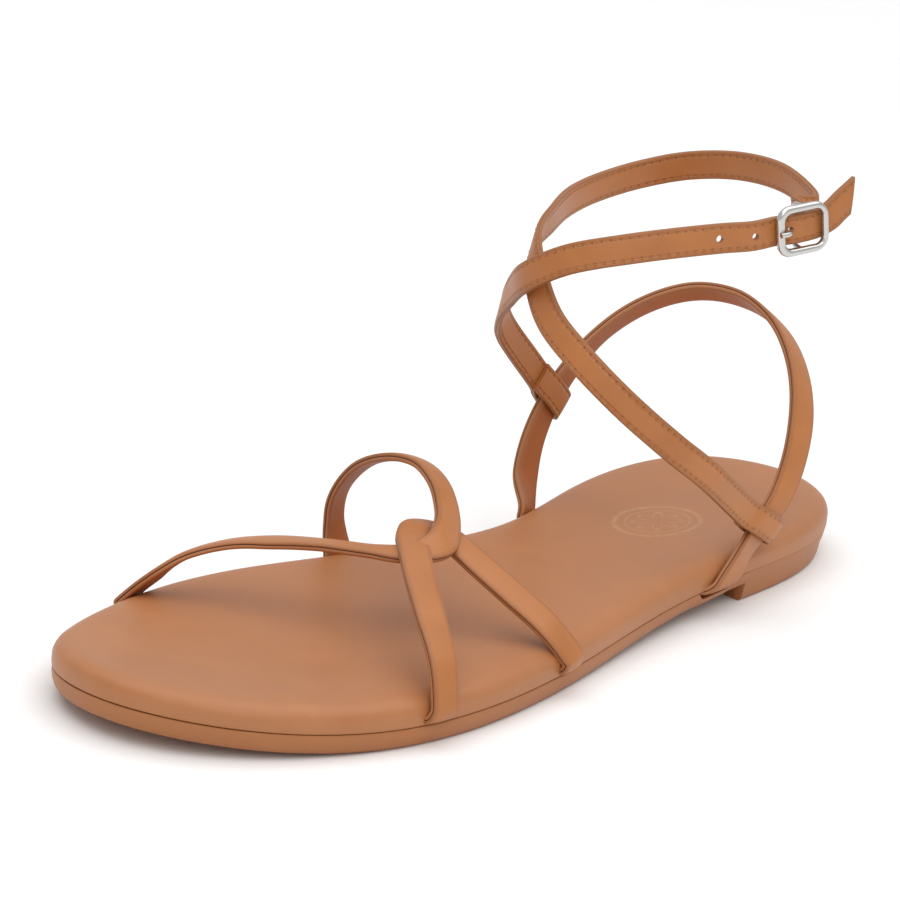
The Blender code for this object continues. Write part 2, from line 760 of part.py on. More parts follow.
def loop_frame(route, share):
    """Place and directions of the heel strap where an ankle strap's loop sits."""
    curve, outs, _ = route
    ahead, across, outward = frames(curve, outs)
    place = at_share(curve, curve, share)
    return (
        place,
        unit(at_share(curve, ahead, share)),
        unit(at_share(curve, across, share)),
        unit(at_share(curve, outward, share)),
    )


def buckle_frame():
    """The buckle's middle, and the directions along the strap, outwards and up."""
    place = foot_point(BUCKLE_PLACE, ANKLE_HEIGHT)
    flat = math.cos(BUCKLE_SLOPE)
    ahead = np.array(
        [
            math.cos(BUCKLE_TURN) * flat,
            math.sin(BUCKLE_TURN) * flat,
            math.sin(BUCKLE_SLOPE),
        ]
    )
    outward = unit(np.array([math.sin(BUCKLE_TURN), -math.cos(BUCKLE_TURN), 0.0]))
    up = np.cross(outward, ahead)
    return place, ahead, outward, up


# Depths in the buckle, measured outwards from its centre bar
EYE_RADIUS = CENTRE_BAR_WIRE / 2 + GAP + PRONG_WIRE / 2
STRAP_OVER_BAR = EYE_RADIUS + PRONG_WIRE / 2 + GAP + ANKLE_STRAP_THICKNESS / 2
STRAP_AT_SIDES = STRAP_OVER_BAR - STRAP_DIP
FRAME_OUT = STRAP_AT_SIDES + ANKLE_STRAP_THICKNESS / 2 + GAP + BUCKLE_WIRE / 2
SIDE_BAR = BUCKLE_WIDTH / 2 - BUCKLE_WIRE / 2


def in_buckle(along, out, up=0.0):
    place, ahead, outward, rise = buckle_frame()
    return place + ahead * along + outward * out + rise * up


def loop_start(grip, towards):
    """The first points of an ankle strap, leaving its loop on the heel strap towards a place.
    Their shear keeps the strap's end parallel to the heel strap."""
    place, _, across, outward = grip
    side = across if np.dot(across, towards - place) > 0 else -across
    way = towards - place
    way = unit(way - outward * np.dot(way, outward))
    edge = (HEEL_STRAP_WIDTH / 2 + LOOP_EASE + SLEEVE_WALL / 2) / np.dot(way, side)
    places = [place + way * edge, place + way * (edge + ANKLE_STRAP_THICKNESS)]
    shear = -np.dot(np.cross(way, outward), side) / np.dot(way, side)
    return places, [outward, outward], [shear, shear]


def build_ankle_strap(name, look, heel_route, loop_at, rows, end_places, end_outs, end_shears):
    """An ankle strap: a loop round the heel strap, then its route, then its own end."""
    middle = [foot_point(row, ANKLE_HEIGHT) for row in rows]
    grip = loop_frame(heel_route, loop_at)
    start, start_outs, shears = loop_start(grip, middle[0])
    places = [*start, *middle, *end_places]
    outs = [*start_outs, *faces_from(LEG_LINE, rows, middle), *end_outs]
    shears = [*shears, *[0.0] * len(middle), *end_shears]
    route = fine_route(places, outs, shears)
    section = band_section(ANKLE_STRAP_WIDTH, ANKLE_STRAP_THICKNESS)
    strap = make_object(name, *strap_mesh(route, section), look)
    place, ahead, across, outward = grip
    collar = sleeve(
        f"{name}_loop",
        place,
        ahead,
        across,
        outward,
        HEEL_STRAP_WIDTH + 2 * LOOP_EASE,
        HEEL_STRAP_THICKNESS + 2 * LOOP_EASE,
        ANKLE_STRAP_WIDTH,
        SLEEVE_WALL,
    )
    boolean(strap, collar, "UNION")
    return strap, route


def build_buckle_strap(look, heel_route):
    """The strap that carries the buckle: its end is folded round the centre bar."""
    _, ahead, outward, up = buckle_frame()
    inside = -(CENTRE_BAR_WIRE / 2 + GAP + FOLD_WALL / 2)
    end_places = [
        in_buckle(BUCKLE_WIDTH * 0.42, -BUCKLE_WIDTH * 0.64),
        in_buckle(BUCKLE_WIDTH * 0.38, -BUCKLE_WIDTH * 0.37),
        in_buckle(BUCKLE_WIDTH * 0.30, -BUCKLE_WIDTH * 0.20),
        in_buckle(BUCKLE_WIDTH * 0.16, inside),
    ]
    end_outs = [ahead, ahead + outward * 0.4, ahead * 0.6 + outward, outward]
    strap, _ = build_ankle_strap(
        "ankle_strap_buckle_side",
        look,
        heel_route,
        OUTER_LOOP_AT,
        BUCKLE_STRAP_ROUTE,
        end_places,
        end_outs,
        [0.0] * len(end_places),
    )
    hole = CENTRE_BAR_WIRE + 2 * GAP
    fold = sleeve(
        "buckle_fold",
        in_buckle(hole / 2, 0.0),
        up,
        ahead,
        outward,
        hole * 2,
        hole,
        ANKLE_STRAP_WIDTH,
        FOLD_WALL,
    )
    boolean(strap, fold, "UNION")
    room = EYE_RADIUS + PRONG_WIRE / 2 + GAP
    slot = box_helper(
        "prong_slot",
        in_buckle(-room / 2, 0.0),
        ahead,
        outward,
        up,
        room * 3,
        room * 4,
        PRONG_WIRE + 4 * GAP,
    )
    boolean(strap, slot, "DIFFERENCE")
    return strap


def box_helper(name, place, ahead, outward, up, length, depth, height):
    points = []
    for a in (-0.5, 0.5):
        for o in (-0.5, 0.5):
            for u in (-0.5, 0.5):
                points.append(tuple(place + ahead * a * length + outward * o * depth + up * u * height))
    faces = [(0, 1, 3, 2), (4, 6, 7, 5), (0, 4, 5, 1), (2, 3, 7, 6), (0, 2, 6, 4), (1, 5, 7, 3)]
    return helper(name, points, faces)


def build_hole_strap(look, heel_route):
    """The strap with the holes: it runs under the frame, over the centre bar, and out to its tip."""
    _, _, outward, _ = buckle_frame()
    end_places = [
        in_buckle(-SIDE_BAR - BUCKLE_WIDTH * 0.45, STRAP_AT_SIDES),
        in_buckle(-SIDE_BAR, STRAP_AT_SIDES),
        in_buckle(-SIDE_BAR / 2, STRAP_OVER_BAR - STRAP_DIP * 0.2),
        in_buckle(0.0, STRAP_OVER_BAR),
        in_buckle(SIDE_BAR / 2, STRAP_OVER_BAR - STRAP_DIP * 0.2),
        in_buckle(SIDE_BAR, STRAP_AT_SIDES),
    ]
    shears = [0.0] * len(end_places) + [row["slant"] for row in HOLE_STRAP_TIP]
    for row in HOLE_STRAP_TIP:
        out = STRAP_AT_SIDES + row["out"] * BUCKLE_WIDTH
        end_places.append(in_buckle(row["ahead"] * BUCKLE_WIDTH, out, row["up"] * BUCKLE_WIDTH))
    strap, route = build_ankle_strap(
        "ankle_strap_hole_side",
        look,
        heel_route,
        INNER_LOOP_AT,
        HOLE_STRAP_ROUTE,
        end_places,
        [outward] * len(end_places),
        shears,
    )
    for number in range(1, HOLES_BEFORE + 1):
        boolean(strap, punch_helper(number, route), "DIFFERENCE")
    return strap


def punch_helper(number, route):
    """A round punch through the strap, this many pitches before the hole in use."""
    curve, outs, _ = route
    steps = np.linalg.norm(np.diff(curve, axis=0), axis=1)
    distance = np.concatenate([[0], np.cumsum(steps)])
    in_use = distance[np.argmin(np.linalg.norm(curve - in_buckle(PRONG_AT, STRAP_AT_SIDES), axis=1))]
    share = (in_use - number * HOLE_PITCH) / distance[-1]
    centre = at_share(curve, curve, share)
    ahead, across, outward = [unit(at_share(curve, way, share)) for way in frames(curve, outs)]
    points = []
    for end in (-1, 1):
        for u, v in wire_section(HOLE_DIAMETER, 10):
            points.append(tuple(centre + ahead * u + across * v + outward * end * HOLE_DIAMETER))
    faces = ring_faces(2, 10)
    faces += [tuple(range(10)), tuple(range(10, 20))]
    return helper(f"punch_{number}", points, faces)


# The prong rises from the centre bar, through the strap, onto the frame
PRONG_AT = -BUCKLE_WIDTH * 0.19
PRONG_TOP = FRAME_OUT + BUCKLE_WIRE / 2 + GAP + PRONG_WIRE / 2


def prong_route():
    return [
        in_buckle(-EYE_RADIUS, 0.0),
        in_buckle(-EYE_RADIUS - PRONG_WIRE * 0.4, EYE_RADIUS),
        in_buckle(PRONG_AT, STRAP_OVER_BAR),
        in_buckle(-SIDE_BAR + BUCKLE_WIRE * 0.8, PRONG_TOP - GAP / 2),
        in_buckle(-SIDE_BAR - BUCKLE_WIRE * 0.45, PRONG_TOP),
    ]


def build_buckle(look):
    """A rounded frame with a centre bar set below it on two short legs."""
    _, ahead, outward, up = buckle_frame()
    half_wide = SIDE_BAR - BUCKLE_CORNER
    half_high = BUCKLE_HEIGHT / 2 - BUCKLE_WIRE / 2 - BUCKLE_CORNER
    curve = []
    for a, u, start in (
        (half_wide, half_high, 0.0),
        (-half_wide, half_high, math.pi / 2),
        (-half_wide, -half_high, math.pi),
        (half_wide, -half_high, 1.5 * math.pi),
    ):
        for i in range(6):
            turn = start + math.pi / 2 * i / 5
            curve.append(
                in_buckle(
                    a + BUCKLE_CORNER * math.cos(turn), FRAME_OUT, u + BUCKLE_CORNER * math.sin(turn)
                )
            )
    curve = np.array(curve)
    looks_out = np.tile(outward, (len(curve), 1))
    points, faces = sweep(curve, looks_out, wire_section(BUCKLE_WIRE), closed=True)
    frame = make_object("buckle_frame", points, faces, look)
    reach = BUCKLE_HEIGHT / 2 - BUCKLE_WIRE / 2
    bend = CENTRE_BAR_WIRE
    legs = [
        in_buckle(0.0, FRAME_OUT, reach),
        in_buckle(0.0, bend, reach),
        in_buckle(0.0, bend * 0.3, reach - bend * 0.3),
        in_buckle(0.0, 0.0, reach - bend),
        in_buckle(0.0, 0.0, 0.0),
        in_buckle(0.0, 0.0, -reach + bend),
        in_buckle(0.0, bend * 0.3, -reach + bend * 0.3),
        in_buckle(0.0, bend, -reach),
        in_buckle(0.0, FRAME_OUT, -reach),
    ]
    curve = route_curve(legs, 0.002)
    bar = helper(
        "buckle_bar", *sweep(curve, np.tile(ahead, (len(curve), 1)), wire_section(CENTRE_BAR_WIRE))
    )
    boolean(frame, bar, "UNION")
    return frame


def build_prong(look, strap):
    """The prong, with its eye round the centre bar. It also opens the strap's hole in use."""
    _, ahead, outward, up = buckle_frame()
    curve = route_curve(prong_route(), 0.0008)
    sides = np.tile(up, (len(curve), 1))
    prong = make_object("buckle_prong", *sweep(curve, sides, wire_section(PRONG_WIRE)), look)
    turns = [2 * math.pi * i / 16 for i in range(16)]
    ring = [in_buckle(EYE_RADIUS * math.cos(t), EYE_RADIUS * math.sin(t)) for t in turns]
    ups = np.tile(up, (len(ring), 1))
    eye = helper(
        "prong_eye", *sweep(np.array(ring), ups, wire_section(PRONG_WIRE), closed=True)
    )
    boolean(prong, eye, "UNION")
    room = wire_section(PRONG_WIRE + 2 * GAP)
    passage = helper("prong_passage", *sweep(curve, sides, room))
    boolean(strap, passage, "DIFFERENCE")
    return prong


def main():
    clear_scene()
    leather = material("tan_leather", COLOURS["leather"], 0.5, 0.0)
    rubber = material("tan_sole", COLOURS["sole"], 0.6, 0.0)
    steel = material("steel", COLOURS["steel"], 0.25, 1.0)
    outsole = build_outsole(rubber)
    footbed = build_footbed(leather)
    _, toe_cutters = build_toe_straps(leather)
    _, heel_cutters, heel_route = build_heel_strap(leather)
    for cutter in toe_cutters + heel_cutters:
        boolean(footbed, cutter, "DIFFERENCE")
    boolean(outsole, heel_cutters[0], "DIFFERENCE")
    build_buckle_strap(leather, heel_route)
    hole_strap = build_hole_strap(leather, heel_route)
    build_buckle(steel)
    build_prong(steel, hole_strap)


main()
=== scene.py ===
import math

import bmesh
import bpy
import numpy as np
from mathutils import Matrix, Vector


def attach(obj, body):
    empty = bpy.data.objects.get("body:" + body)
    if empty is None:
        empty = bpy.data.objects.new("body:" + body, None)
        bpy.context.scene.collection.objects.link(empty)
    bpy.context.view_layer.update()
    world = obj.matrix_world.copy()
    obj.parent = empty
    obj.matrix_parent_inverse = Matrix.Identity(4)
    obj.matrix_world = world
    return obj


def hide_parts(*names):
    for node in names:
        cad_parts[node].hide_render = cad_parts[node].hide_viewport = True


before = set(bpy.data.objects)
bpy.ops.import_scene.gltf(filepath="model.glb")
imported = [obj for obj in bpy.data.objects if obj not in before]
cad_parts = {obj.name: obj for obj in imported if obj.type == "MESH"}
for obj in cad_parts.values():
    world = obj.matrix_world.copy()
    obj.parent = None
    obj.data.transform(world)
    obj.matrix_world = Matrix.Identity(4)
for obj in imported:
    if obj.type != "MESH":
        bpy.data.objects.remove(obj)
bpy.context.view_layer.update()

# Sizes in metres. The toe points to -Y, the outer side of the foot is +X.
last = {
    "length": 0.250,
    "ballWidth": 0.087,
    "heelLength": 0.061,
    "soleThickness": 0.0048,
    "heelRise": 0.0030,
    "waistLift": 0.0040,
    "toeSpring": 0.0040,
    "flatFrom": 0.60,
    "flatTo": 0.80,
    "riseFrom": 0.62,
    "riseTo": 0.22,
    "toeOffset": -0.035,
    "toeArch": 0.0280,
    "ankleHeight": 0.0800,
    "footbedThickness": 0.0062,
    "wallRound": 0.0060,
    "gap": 0.0003,
    "seamGap": 0.0001,
}
heelBack = last["heelLength"] / 2
breastShare = last["heelLength"] / last["length"]

# Share of the length from the heel's back, outer and inner half widths as shares of the ball's width
outlineRows = [
    (0.035, 0.20, 0.24),
    (0.12, 0.32, 0.32),
    (0.24, 0.355, 0.29),
    (0.38, 0.38, 0.235),
    (0.52, 0.44, 0.345),
    (0.66, 0.495, 0.475),
    (0.78, 0.485, 0.50),
    (0.89, 0.375, 0.435),
    (0.965, 0.20, 0.305),
]


def unit(vector):
    return vector / np.linalg.norm(vector)


def ease(start, end, value):
    share = min(max((value - start) / (end - start), 0.0), 1.0)
    return share * share * (3 - 2 * share)


def alongToY(along):
    return heelBack - along * last["length"]


def yToAlong(y):
    return (heelBack - y) / last["length"]


def periodicSpline(points, count):
    points = np.array(points)
    total = len(points)
    gaps = np.linalg.norm(np.roll(points, -1, axis=0) - points, axis=1)
    system = np.zeros((total, total))
    known = np.zeros_like(points)
    for i in range(total):
        before = gaps[i - 1]
        after = gaps[i]
        system[i, (i - 1) % total] = after
        system[i, i] = 2 * (before + after)
        system[i, (i + 1) % total] = before
        fromLast = points[i] - points[i - 1]
        toNext = points[(i + 1) % total] - points[i]
        known[i] = 3 * (after * fromLast / before + before * toNext / after)
    slopes = np.linalg.solve(system, known)
    curve = []
    for i in range(total):
        j = (i + 1) % total
        for share in np.linspace(0, 1, count, endpoint=False):
            a = 2 * share**3 - 3 * share**2 + 1
            b = share**3 - 2 * share**2 + share
            c = share**3 - share**2
            bent = a * points[i] + b * gaps[i] * slopes[i]
            curve.append(bent + (1 - a) * points[j] + c * gaps[i] * slopes[j])
    return np.array(curve)


def outlineSides():
    width = last["ballWidth"]
    corners = [(0.0, alongToY(0.0))]
    corners += [(outer * width, alongToY(along)) for along, outer, inner in outlineRows]
    corners += [(last["toeOffset"] * width, alongToY(1.0))]
    corners += [(-inner * width, alongToY(along)) for along, outer, inner in reversed(outlineRows)]
    curve = periodicSpline(corners, 60)
    toe = int(np.argmin(curve[:, 1]))
    heel = int(np.argmax(curve[:, 1]))
    curve = np.roll(curve, -heel, axis=0)
    toe = (toe - heel) % len(curve)
    return curve[: toe + 1], np.vstack([curve[toe:], curve[:1]])[::-1]


outerSide, innerSide = outlineSides()


def edgeAt(side, along):
    line = outerSide if side == "outer" else innerSide
    y = alongToY(along)
    point = np.array([np.interp(-y, -line[:, 1], line[:, 0]), y])
    reach = last["length"] / 100
    before = np.interp(-y - reach, -line[:, 1], line[:, 0])
    after = np.interp(-y + reach, -line[:, 1], line[:, 0])
    forward = unit(np.array([after - before, -2 * reach]))
    outward = np.array([-forward[1], forward[0]])
    return point, (outward if side == "outer" else -outward), forward


def toeLift(along):
    return last["toeSpring"] * max(0.0, (along - last["flatTo"]) / (1 - last["flatTo"])) ** 2


def underside(y):
    along = yToAlong(y)
    return toeLift(along) + last["waistLift"] * ease(last["flatFrom"], breastShare, along)


def seamHeight(y):
    along = yToAlong(y)
    rise = last["heelRise"] * ease(last["riseFrom"], last["riseTo"], along)
    return last["soleThickness"] + toeLift(along) + rise


def footPoint(across, along, rise, height):
    base = last["soleThickness"] + last["footbedThickness"]
    return np.array([across * last["ballWidth"], alongToY(along), base + rise * height])


# How a strap's face looks: away from a straight line, then turned about its path by a share of a right angle
def facesFrom(line, rows, places):
    start, end = [footPoint(*row, last["ankleHeight"]) for row in line]
    axis = unit(end - start)
    looks = []
    for row, place, ahead in zip(rows, places, tangentsOf(np.array(places))):
        away = place - start - axis * np.dot(place - start, axis)
        away = unit(away - ahead * np.dot(away, ahead))
        angle = row[3] * math.pi / 2
        looks.append(away * math.cos(angle) + np.cross(ahead, away) * math.sin(angle))
    return looks


def routeCurve(points, step):
    points = [np.array(p, float) for p in points]
    ends = [2 * points[0] - points[1], *points, 2 * points[-1] - points[-2]]
    curve = [points[0]]
    for p0, p1, p2, p3 in zip(ends, ends[1:], ends[2:], ends[3:]):
        t1 = np.linalg.norm(p1 - p0) ** 0.5
        t2 = t1 + np.linalg.norm(p2 - p1) ** 0.5
        t3 = t2 + np.linalg.norm(p3 - p2) ** 0.5
        pieces = max(2, math.ceil(np.linalg.norm(p2 - p1) / step))
        for i in range(1, pieces + 1):
            t = t1 + (t2 - t1) * i / pieces
            a = (p0 * (t1 - t) + p1 * t) / t1
            b = (p1 * (t2 - t) + p2 * (t - t1)) / (t2 - t1)
            c = (p2 * (t3 - t) + p3 * (t - t2)) / (t3 - t2)
            d = (a * (t2 - t) + b * t) / t2
            e = (b * (t3 - t) + c * (t - t1)) / (t3 - t1)
            curve.append((d * (t2 - t) + e * (t - t1)) / (t2 - t1))
    return np.array(curve)


routeStep = 0.0008


def tangentsOf(curve):
    ahead = np.gradient(curve, axis=0)
    return ahead / np.linalg.norm(ahead, axis=1)[:, None]


def lengthsAlong(curve):
    return np.concatenate([[0], np.cumsum(np.linalg.norm(np.diff(curve, axis=0), axis=1))])


def softened(values, passes):
    values = np.array(values, float)
    for _ in range(passes):
        values[1:-1] = (values[:-2] + 2 * values[1:-1] + values[2:]) / 4
    return values


# A strap's centreline with its width and face directions, and its thickness as a share
class Route:
    def __init__(self, places, outs, sides, thickness=None):
        self.curve = routeCurve(places, routeStep)
        marks = [int(np.argmin(np.linalg.norm(self.curve - p, axis=1))) for p in places]
        for i in range(1, len(marks)):
            marks[i] = max(marks[i], marks[i - 1] + 1)
        index = np.arange(len(self.curve))

        def carried(values):
            return np.column_stack([np.interp(index, marks, column) for column in np.array(values, float).T])

        self.out = softened(carried(outs), 6)
        self.out /= np.linalg.norm(self.out, axis=1)[:, None]
        ahead = tangentsOf(self.curve)
        across = np.cross(ahead, self.out)
        across /= np.linalg.norm(across, axis=1)[:, None]
        self.out = np.cross(across, ahead)
        # A place may give its own width direction, or a shear of the usual one
        fixed = np.array([np.ndim(g) == 1 for g in sides], float)
        ways = carried([g if np.ndim(g) == 1 else (0, 0, 0) for g in sides])
        shears = np.interp(index, marks, [0.0 if np.ndim(g) == 1 else g for g in sides])
        weight = np.interp(index, marks, fixed)[:, None]
        usual = across + ahead * shears[:, None]
        self.side = usual * (1 - weight) + np.where(weight > 0, ways, 0)
        self.side = softened(self.side, 3)
        shares = [1.0] * len(places) if thickness is None else thickness
        self.thick = softened(np.interp(index, marks, shares), 4)
        self.ahead = ahead
        self.run = lengthsAlong(self.curve)

    def at(self, run):
        return [
            np.array([np.interp(run, self.run, column) for column in values.T])
            for values in (self.curve, self.ahead, self.side, self.out)
        ]


# Points (across, out, zone) round a two-layer strap. Zones: 0 face, 1 edge, 2 lining, 3 the cleft between
def strapSection(width, thickness, crown, rim, cleft):
    half = width / 2
    deep = thickness / 2
    flat = half - rim
    points = []

    def arc(across, out, start, stop, zone):
        for turn in np.linspace(start, stop, 4):
            points.append((across + rim * math.cos(turn), out + rim * math.sin(turn), zone))

    points += [(share * flat, deep - crown * share * share, 0) for share in np.linspace(-1, 1, 13)[1:-1]]
    arc(flat, deep - rim - crown, math.pi / 2, 0.0, 1)
    groove = [(half, cleft, 1), (half - cleft * 0.4, cleft * 0.55, 3), (half - cleft, 0.0, 3)]
    groove += [(across, -out, zone) for across, out, zone in groove[-2::-1]]
    points += groove
    arc(flat, -deep + rim, 0.0, -math.pi / 2, 2)
    points += [(share * flat, -deep, 2) for share in np.linspace(1, -1, 7)[1:-1]]
    arc(-flat, -deep + rim, -math.pi / 2, -math.pi, 1)
    points += [(-across, -out, zone) for across, out, zone in groove]
    arc(-flat, deep - rim - crown, math.pi, math.pi / 2, 0)
    return points


def meshObject(name, points, faces, zones=None, uvs=None, smooth=60):
    mesh = bpy.data.meshes.new(name)
    mesh.from_pydata([tuple(map(float, p)) for p in points], [], faces)
    if zones is not None:
        mesh.polygons.foreach_set("material_index", zones)
    if uvs is not None:
        layer = mesh.uv_layers.new(name="strap")
        flat = np.array(uvs, np.float32)
        layer.data.foreach_set("uv", flat.ravel())
    tools = bmesh.new()
    tools.from_mesh(mesh)
    if tools.calc_volume(signed=True) < 0:
        bmesh.ops.reverse_faces(tools, faces=tools.faces)
    tools.to_mesh(mesh)
    tools.free()
    mesh.shade_smooth()
    mesh.set_sharp_from_angle(angle=math.radians(smooth))
    obj = bpy.data.objects.new(name, mesh)
    bpy.context.scene.collection.objects.link(obj)
    return obj


# A strap's mesh: its UV map holds metres along and across
def strapObject(name, route, section):
    size = len(section)
    points = []
    faces = []
    zones = []
    uvs = []
    wide = max(u for u, v, zone in section)
    for place, side, out, thick in zip(route.curve, route.side, route.out, route.thick):
        for u, v, zone in section:
            points.append(place + side * u + out * v * thick)
    for ring in range(len(route.curve) - 1):
        for i in range(size):
            j = (i + 1) % size
            low = ring * size
            high = low + size
            faces.append((low + i, low + j, high + j, high + i))
            zones.append(min(section[i][2], section[j][2]))
            for k, r in ((i, ring), (j, ring), (j, ring + 1), (i, ring + 1)):
                uvs.append((route.run[r], section[k][0]))
    for ring, turned in ((0, True), (len(route.curve) - 1, False)):
        start = ring * size
        middle = len(points)
        points.append(route.curve[ring])
        for i in range(size):
            j = (i + 1) % size
            faces.append((middle, start + j, start + i) if turned else (middle, start + i, start + j))
            zones.append(1)
            run = route.run[ring]
            uvs += [(run, 0.0), (run, wide), (run, wide)]
    return meshObject(name, points, faces, zones, uvs)


# The object with its modifiers made plain, under the same name
def applied(obj):
    bpy.context.view_layer.update()
    graph = bpy.context.evaluated_depsgraph_get()
    shape = obj.evaluated_get(graph)
    mesh = bpy.data.meshes.new_from_object(shape, preserve_all_data_layers=True, depsgraph=graph)
    old = obj.data
    obj.modifiers.clear()
    obj.data = mesh
    bpy.data.meshes.remove(old)
    return obj


def cutWith(obj, cutters):
    for cutter in cutters:
        modifier = obj.modifiers.new(cutter.name, "BOOLEAN")
        modifier.object = cutter
        modifier.operation = "DIFFERENCE"
        modifier.solver = "EXACT"
    applied(obj)
    for cutter in cutters:
        bpy.data.objects.remove(cutter)
    return obj


# Materials
def newMaterial(name, colour, roughness, metallic=0.0):
    material = bpy.data.materials.new(name)
    material.use_nodes = True
    shader = material.node_tree.nodes["Principled BSDF"]
    shader.inputs["Base Color"].default_value = (*colour, 1.0)
    shader.inputs["Roughness"].default_value = roughness
    shader.inputs["Metallic"].default_value = metallic
    material.diffuse_color = (*colour, 1.0)
    return material, shader


# Short calls for building a node tree
class Tree:
    def __init__(self, tree):
        self.tree = tree

    def node(self, kind, inputs=None, **settings):
        made = self.tree.nodes.new(kind)
        for name, value in settings.items():
            setattr(made, name, value)
        for name, value in (inputs or {}).items():
            self.put(value, made.inputs[name])
        return made

    def put(self, value, socket):
        if isinstance(value, bpy.types.NodeSocket):
            self.tree.links.new(value, socket)
        else:
            socket.default_value = value

    def math(self, operation, *values, clamp=False):
        made = self.tree.nodes.new("ShaderNodeMath")
        made.operation = operation
        made.use_clamp = clamp
        for value, socket in zip(values, made.inputs):
            self.put(value, socket)
        return made.outputs[0]

    def mix(self, factor, a, b, blend="MIX"):
        made = self.tree.nodes.new("ShaderNodeMix")
        made.data_type = "RGBA"
        made.blend_type = blend
        self.put(factor, made.inputs["Factor"])
        self.put(a, made.inputs["A"])
        self.put(b, made.inputs["B"])
        return made.outputs["Result"]

    def range(self, value, low, high, fromLow=0.0, fromHigh=1.0):
        made = self.tree.nodes.new("ShaderNodeMapRange")
        labels = ("Value", "From Min", "From Max", "To Min", "To Max")
        for label, given in zip(labels, (value, fromLow, fromHigh, low, high)):
            self.put(given, made.inputs[label])
        return made.outputs["Result"]


def groupTree(name, inputs, outputs):
    tree = bpy.data.node_groups.new(name, "ShaderNodeTree")
    for label, kind, value in inputs:
        socket = tree.interface.new_socket(label, in_out="INPUT", socket_type=kind)
        if value is not None:
            socket.default_value = value
    for label, kind in outputs:
        tree.interface.new_socket(label, in_out="OUTPUT", socket_type=kind)
    build = Tree(tree)
    start = tree.nodes.new("NodeGroupInput")
    end = tree.nodes.new("NodeGroupOutput")
    return build, start.outputs, end.inputs


# Mottled colour, fine pores and soft unevenness of smooth leather
def leatherGroup():
    build, source, result = groupTree(
        "leatherSkin",
        [
            ("Position", "NodeSocketVector", None),
            ("Colour", "NodeSocketColor", (0.4, 0.2, 0.1, 1.0)),
            ("Mottle", "NodeSocketFloat", 0.12),
            ("Pore Size", "NodeSocketFloat", 0.00045),
            ("Shine", "NodeSocketFloat", 0.42),
        ],
        [("Colour", "NodeSocketColor"), ("Roughness", "NodeSocketFloat"), ("Height", "NodeSocketFloat")],
    )
    perMetre = build.math("DIVIDE", 1.0, source["Pore Size"])

    def noise(scale, detail, roughness=0.5):
        inputs = {"Vector": source["Position"], "Scale": scale, "Detail": detail, "Roughness": roughness}
        return build.node("ShaderNodeTexNoise", inputs).outputs["Fac"]

    cloud = noise(95.0, 4.0, 0.6)
    broad = noise(28.0, 2.0)
    fine = noise(build.math("MULTIPLY", perMetre, 0.5), 3.0)
    pores = build.node("ShaderNodeTexVoronoi", {"Vector": source["Position"], "Scale": perMetre})
    shade = build.math("ADD", build.math("MULTIPLY", cloud, 0.5), build.math("MULTIPLY", broad, 0.5))
    shade = build.range(shade, -1.0, 1.0, 0.32, 0.68)
    shade = build.math("MULTIPLY_ADD", shade, source["Mottle"], 1.0)
    green = build.math("POWER", shade, 1.25)
    blue = build.math("POWER", shade, 1.6)
    grey = build.node("ShaderNodeCombineColor", {"Red": shade, "Green": green, "Blue": blue})
    build.put(build.mix(1.0, source["Colour"], grey.outputs["Color"], "MULTIPLY"), result["Colour"])
    uneven = build.math("SUBTRACT", cloud, 0.5)
    build.put(build.math("MULTIPLY_ADD", uneven, 0.18, source["Shine"]), result["Roughness"])
    poreHeight = build.math("MULTIPLY", pores.outputs["Distance"], 0.35)
    build.put(build.math("ADD", poreHeight, build.math("MULTIPLY", fine, 0.65)), result["Height"])
    return build.tree


# How near a point is to the strap's edge, from its UV map in metres: 0 in the middle, 1 at the edge
def rimGroup():
    build, source, result = groupTree(
        "strapRim",
        [
            ("Strap UV", "NodeSocketVector", None),
            ("Half Width", "NodeSocketFloat", 0.0036),
            ("Reach", "NodeSocketFloat", 0.0012),
        ],
        [("Rim", "NodeSocketFloat")],
    )
    parts = build.node("ShaderNodeSeparateXYZ", {"Vector": source["Strap UV"]})
    start = build.math("SUBTRACT", source["Half Width"], source["Reach"])
    past = build.math("SUBTRACT", build.math("ABSOLUTE", parts.outputs["Y"]), start)
    build.put(build.math("DIVIDE", past, source["Reach"], clamp=True), result["Rim"])
    return build.tree


# A shallow channel under each row of stitches, with a dimple at each stitch end
def stitchRowGroup():
    build, source, result = groupTree(
        "stitchRow",
        [
            ("Strap UV", "NodeSocketVector", None),
            ("Row Offset", "NodeSocketFloat", 0.0026),
            ("Row Width", "NodeSocketFloat", 0.0005),
            ("Pitch", "NodeSocketFloat", 0.0025),
        ],
        [("Depth", "NodeSocketFloat"), ("Dimple", "NodeSocketFloat")],
    )
    parts = build.node("ShaderNodeSeparateXYZ", {"Vector": source["Strap UV"]})
    away = build.math("SUBTRACT", build.math("ABSOLUTE", parts.outputs["Y"]), source["Row Offset"])
    away = build.math("DIVIDE", build.math("ABSOLUTE", away), source["Row Width"])
    channel = build.math("SUBTRACT", 1.0, away, clamp=True)
    halfPitch = build.math("MULTIPLY", source["Pitch"], 0.5)
    turn = build.math("PINGPONG", build.math("ADD", parts.outputs["X"], halfPitch), halfPitch)
    near = build.math("MULTIPLY", build.math("DIVIDE", turn, halfPitch), 3.0)
    dimple = build.math("MULTIPLY", channel, build.math("SUBTRACT", 1.0, near, clamp=True))
    build.put(channel, result["Depth"])
    build.put(dimple, result["Dimple"])
    return build.tree


skinGroup = leatherGroup()
edgeGroup = rimGroup()
rowGroup = stitchRowGroup()

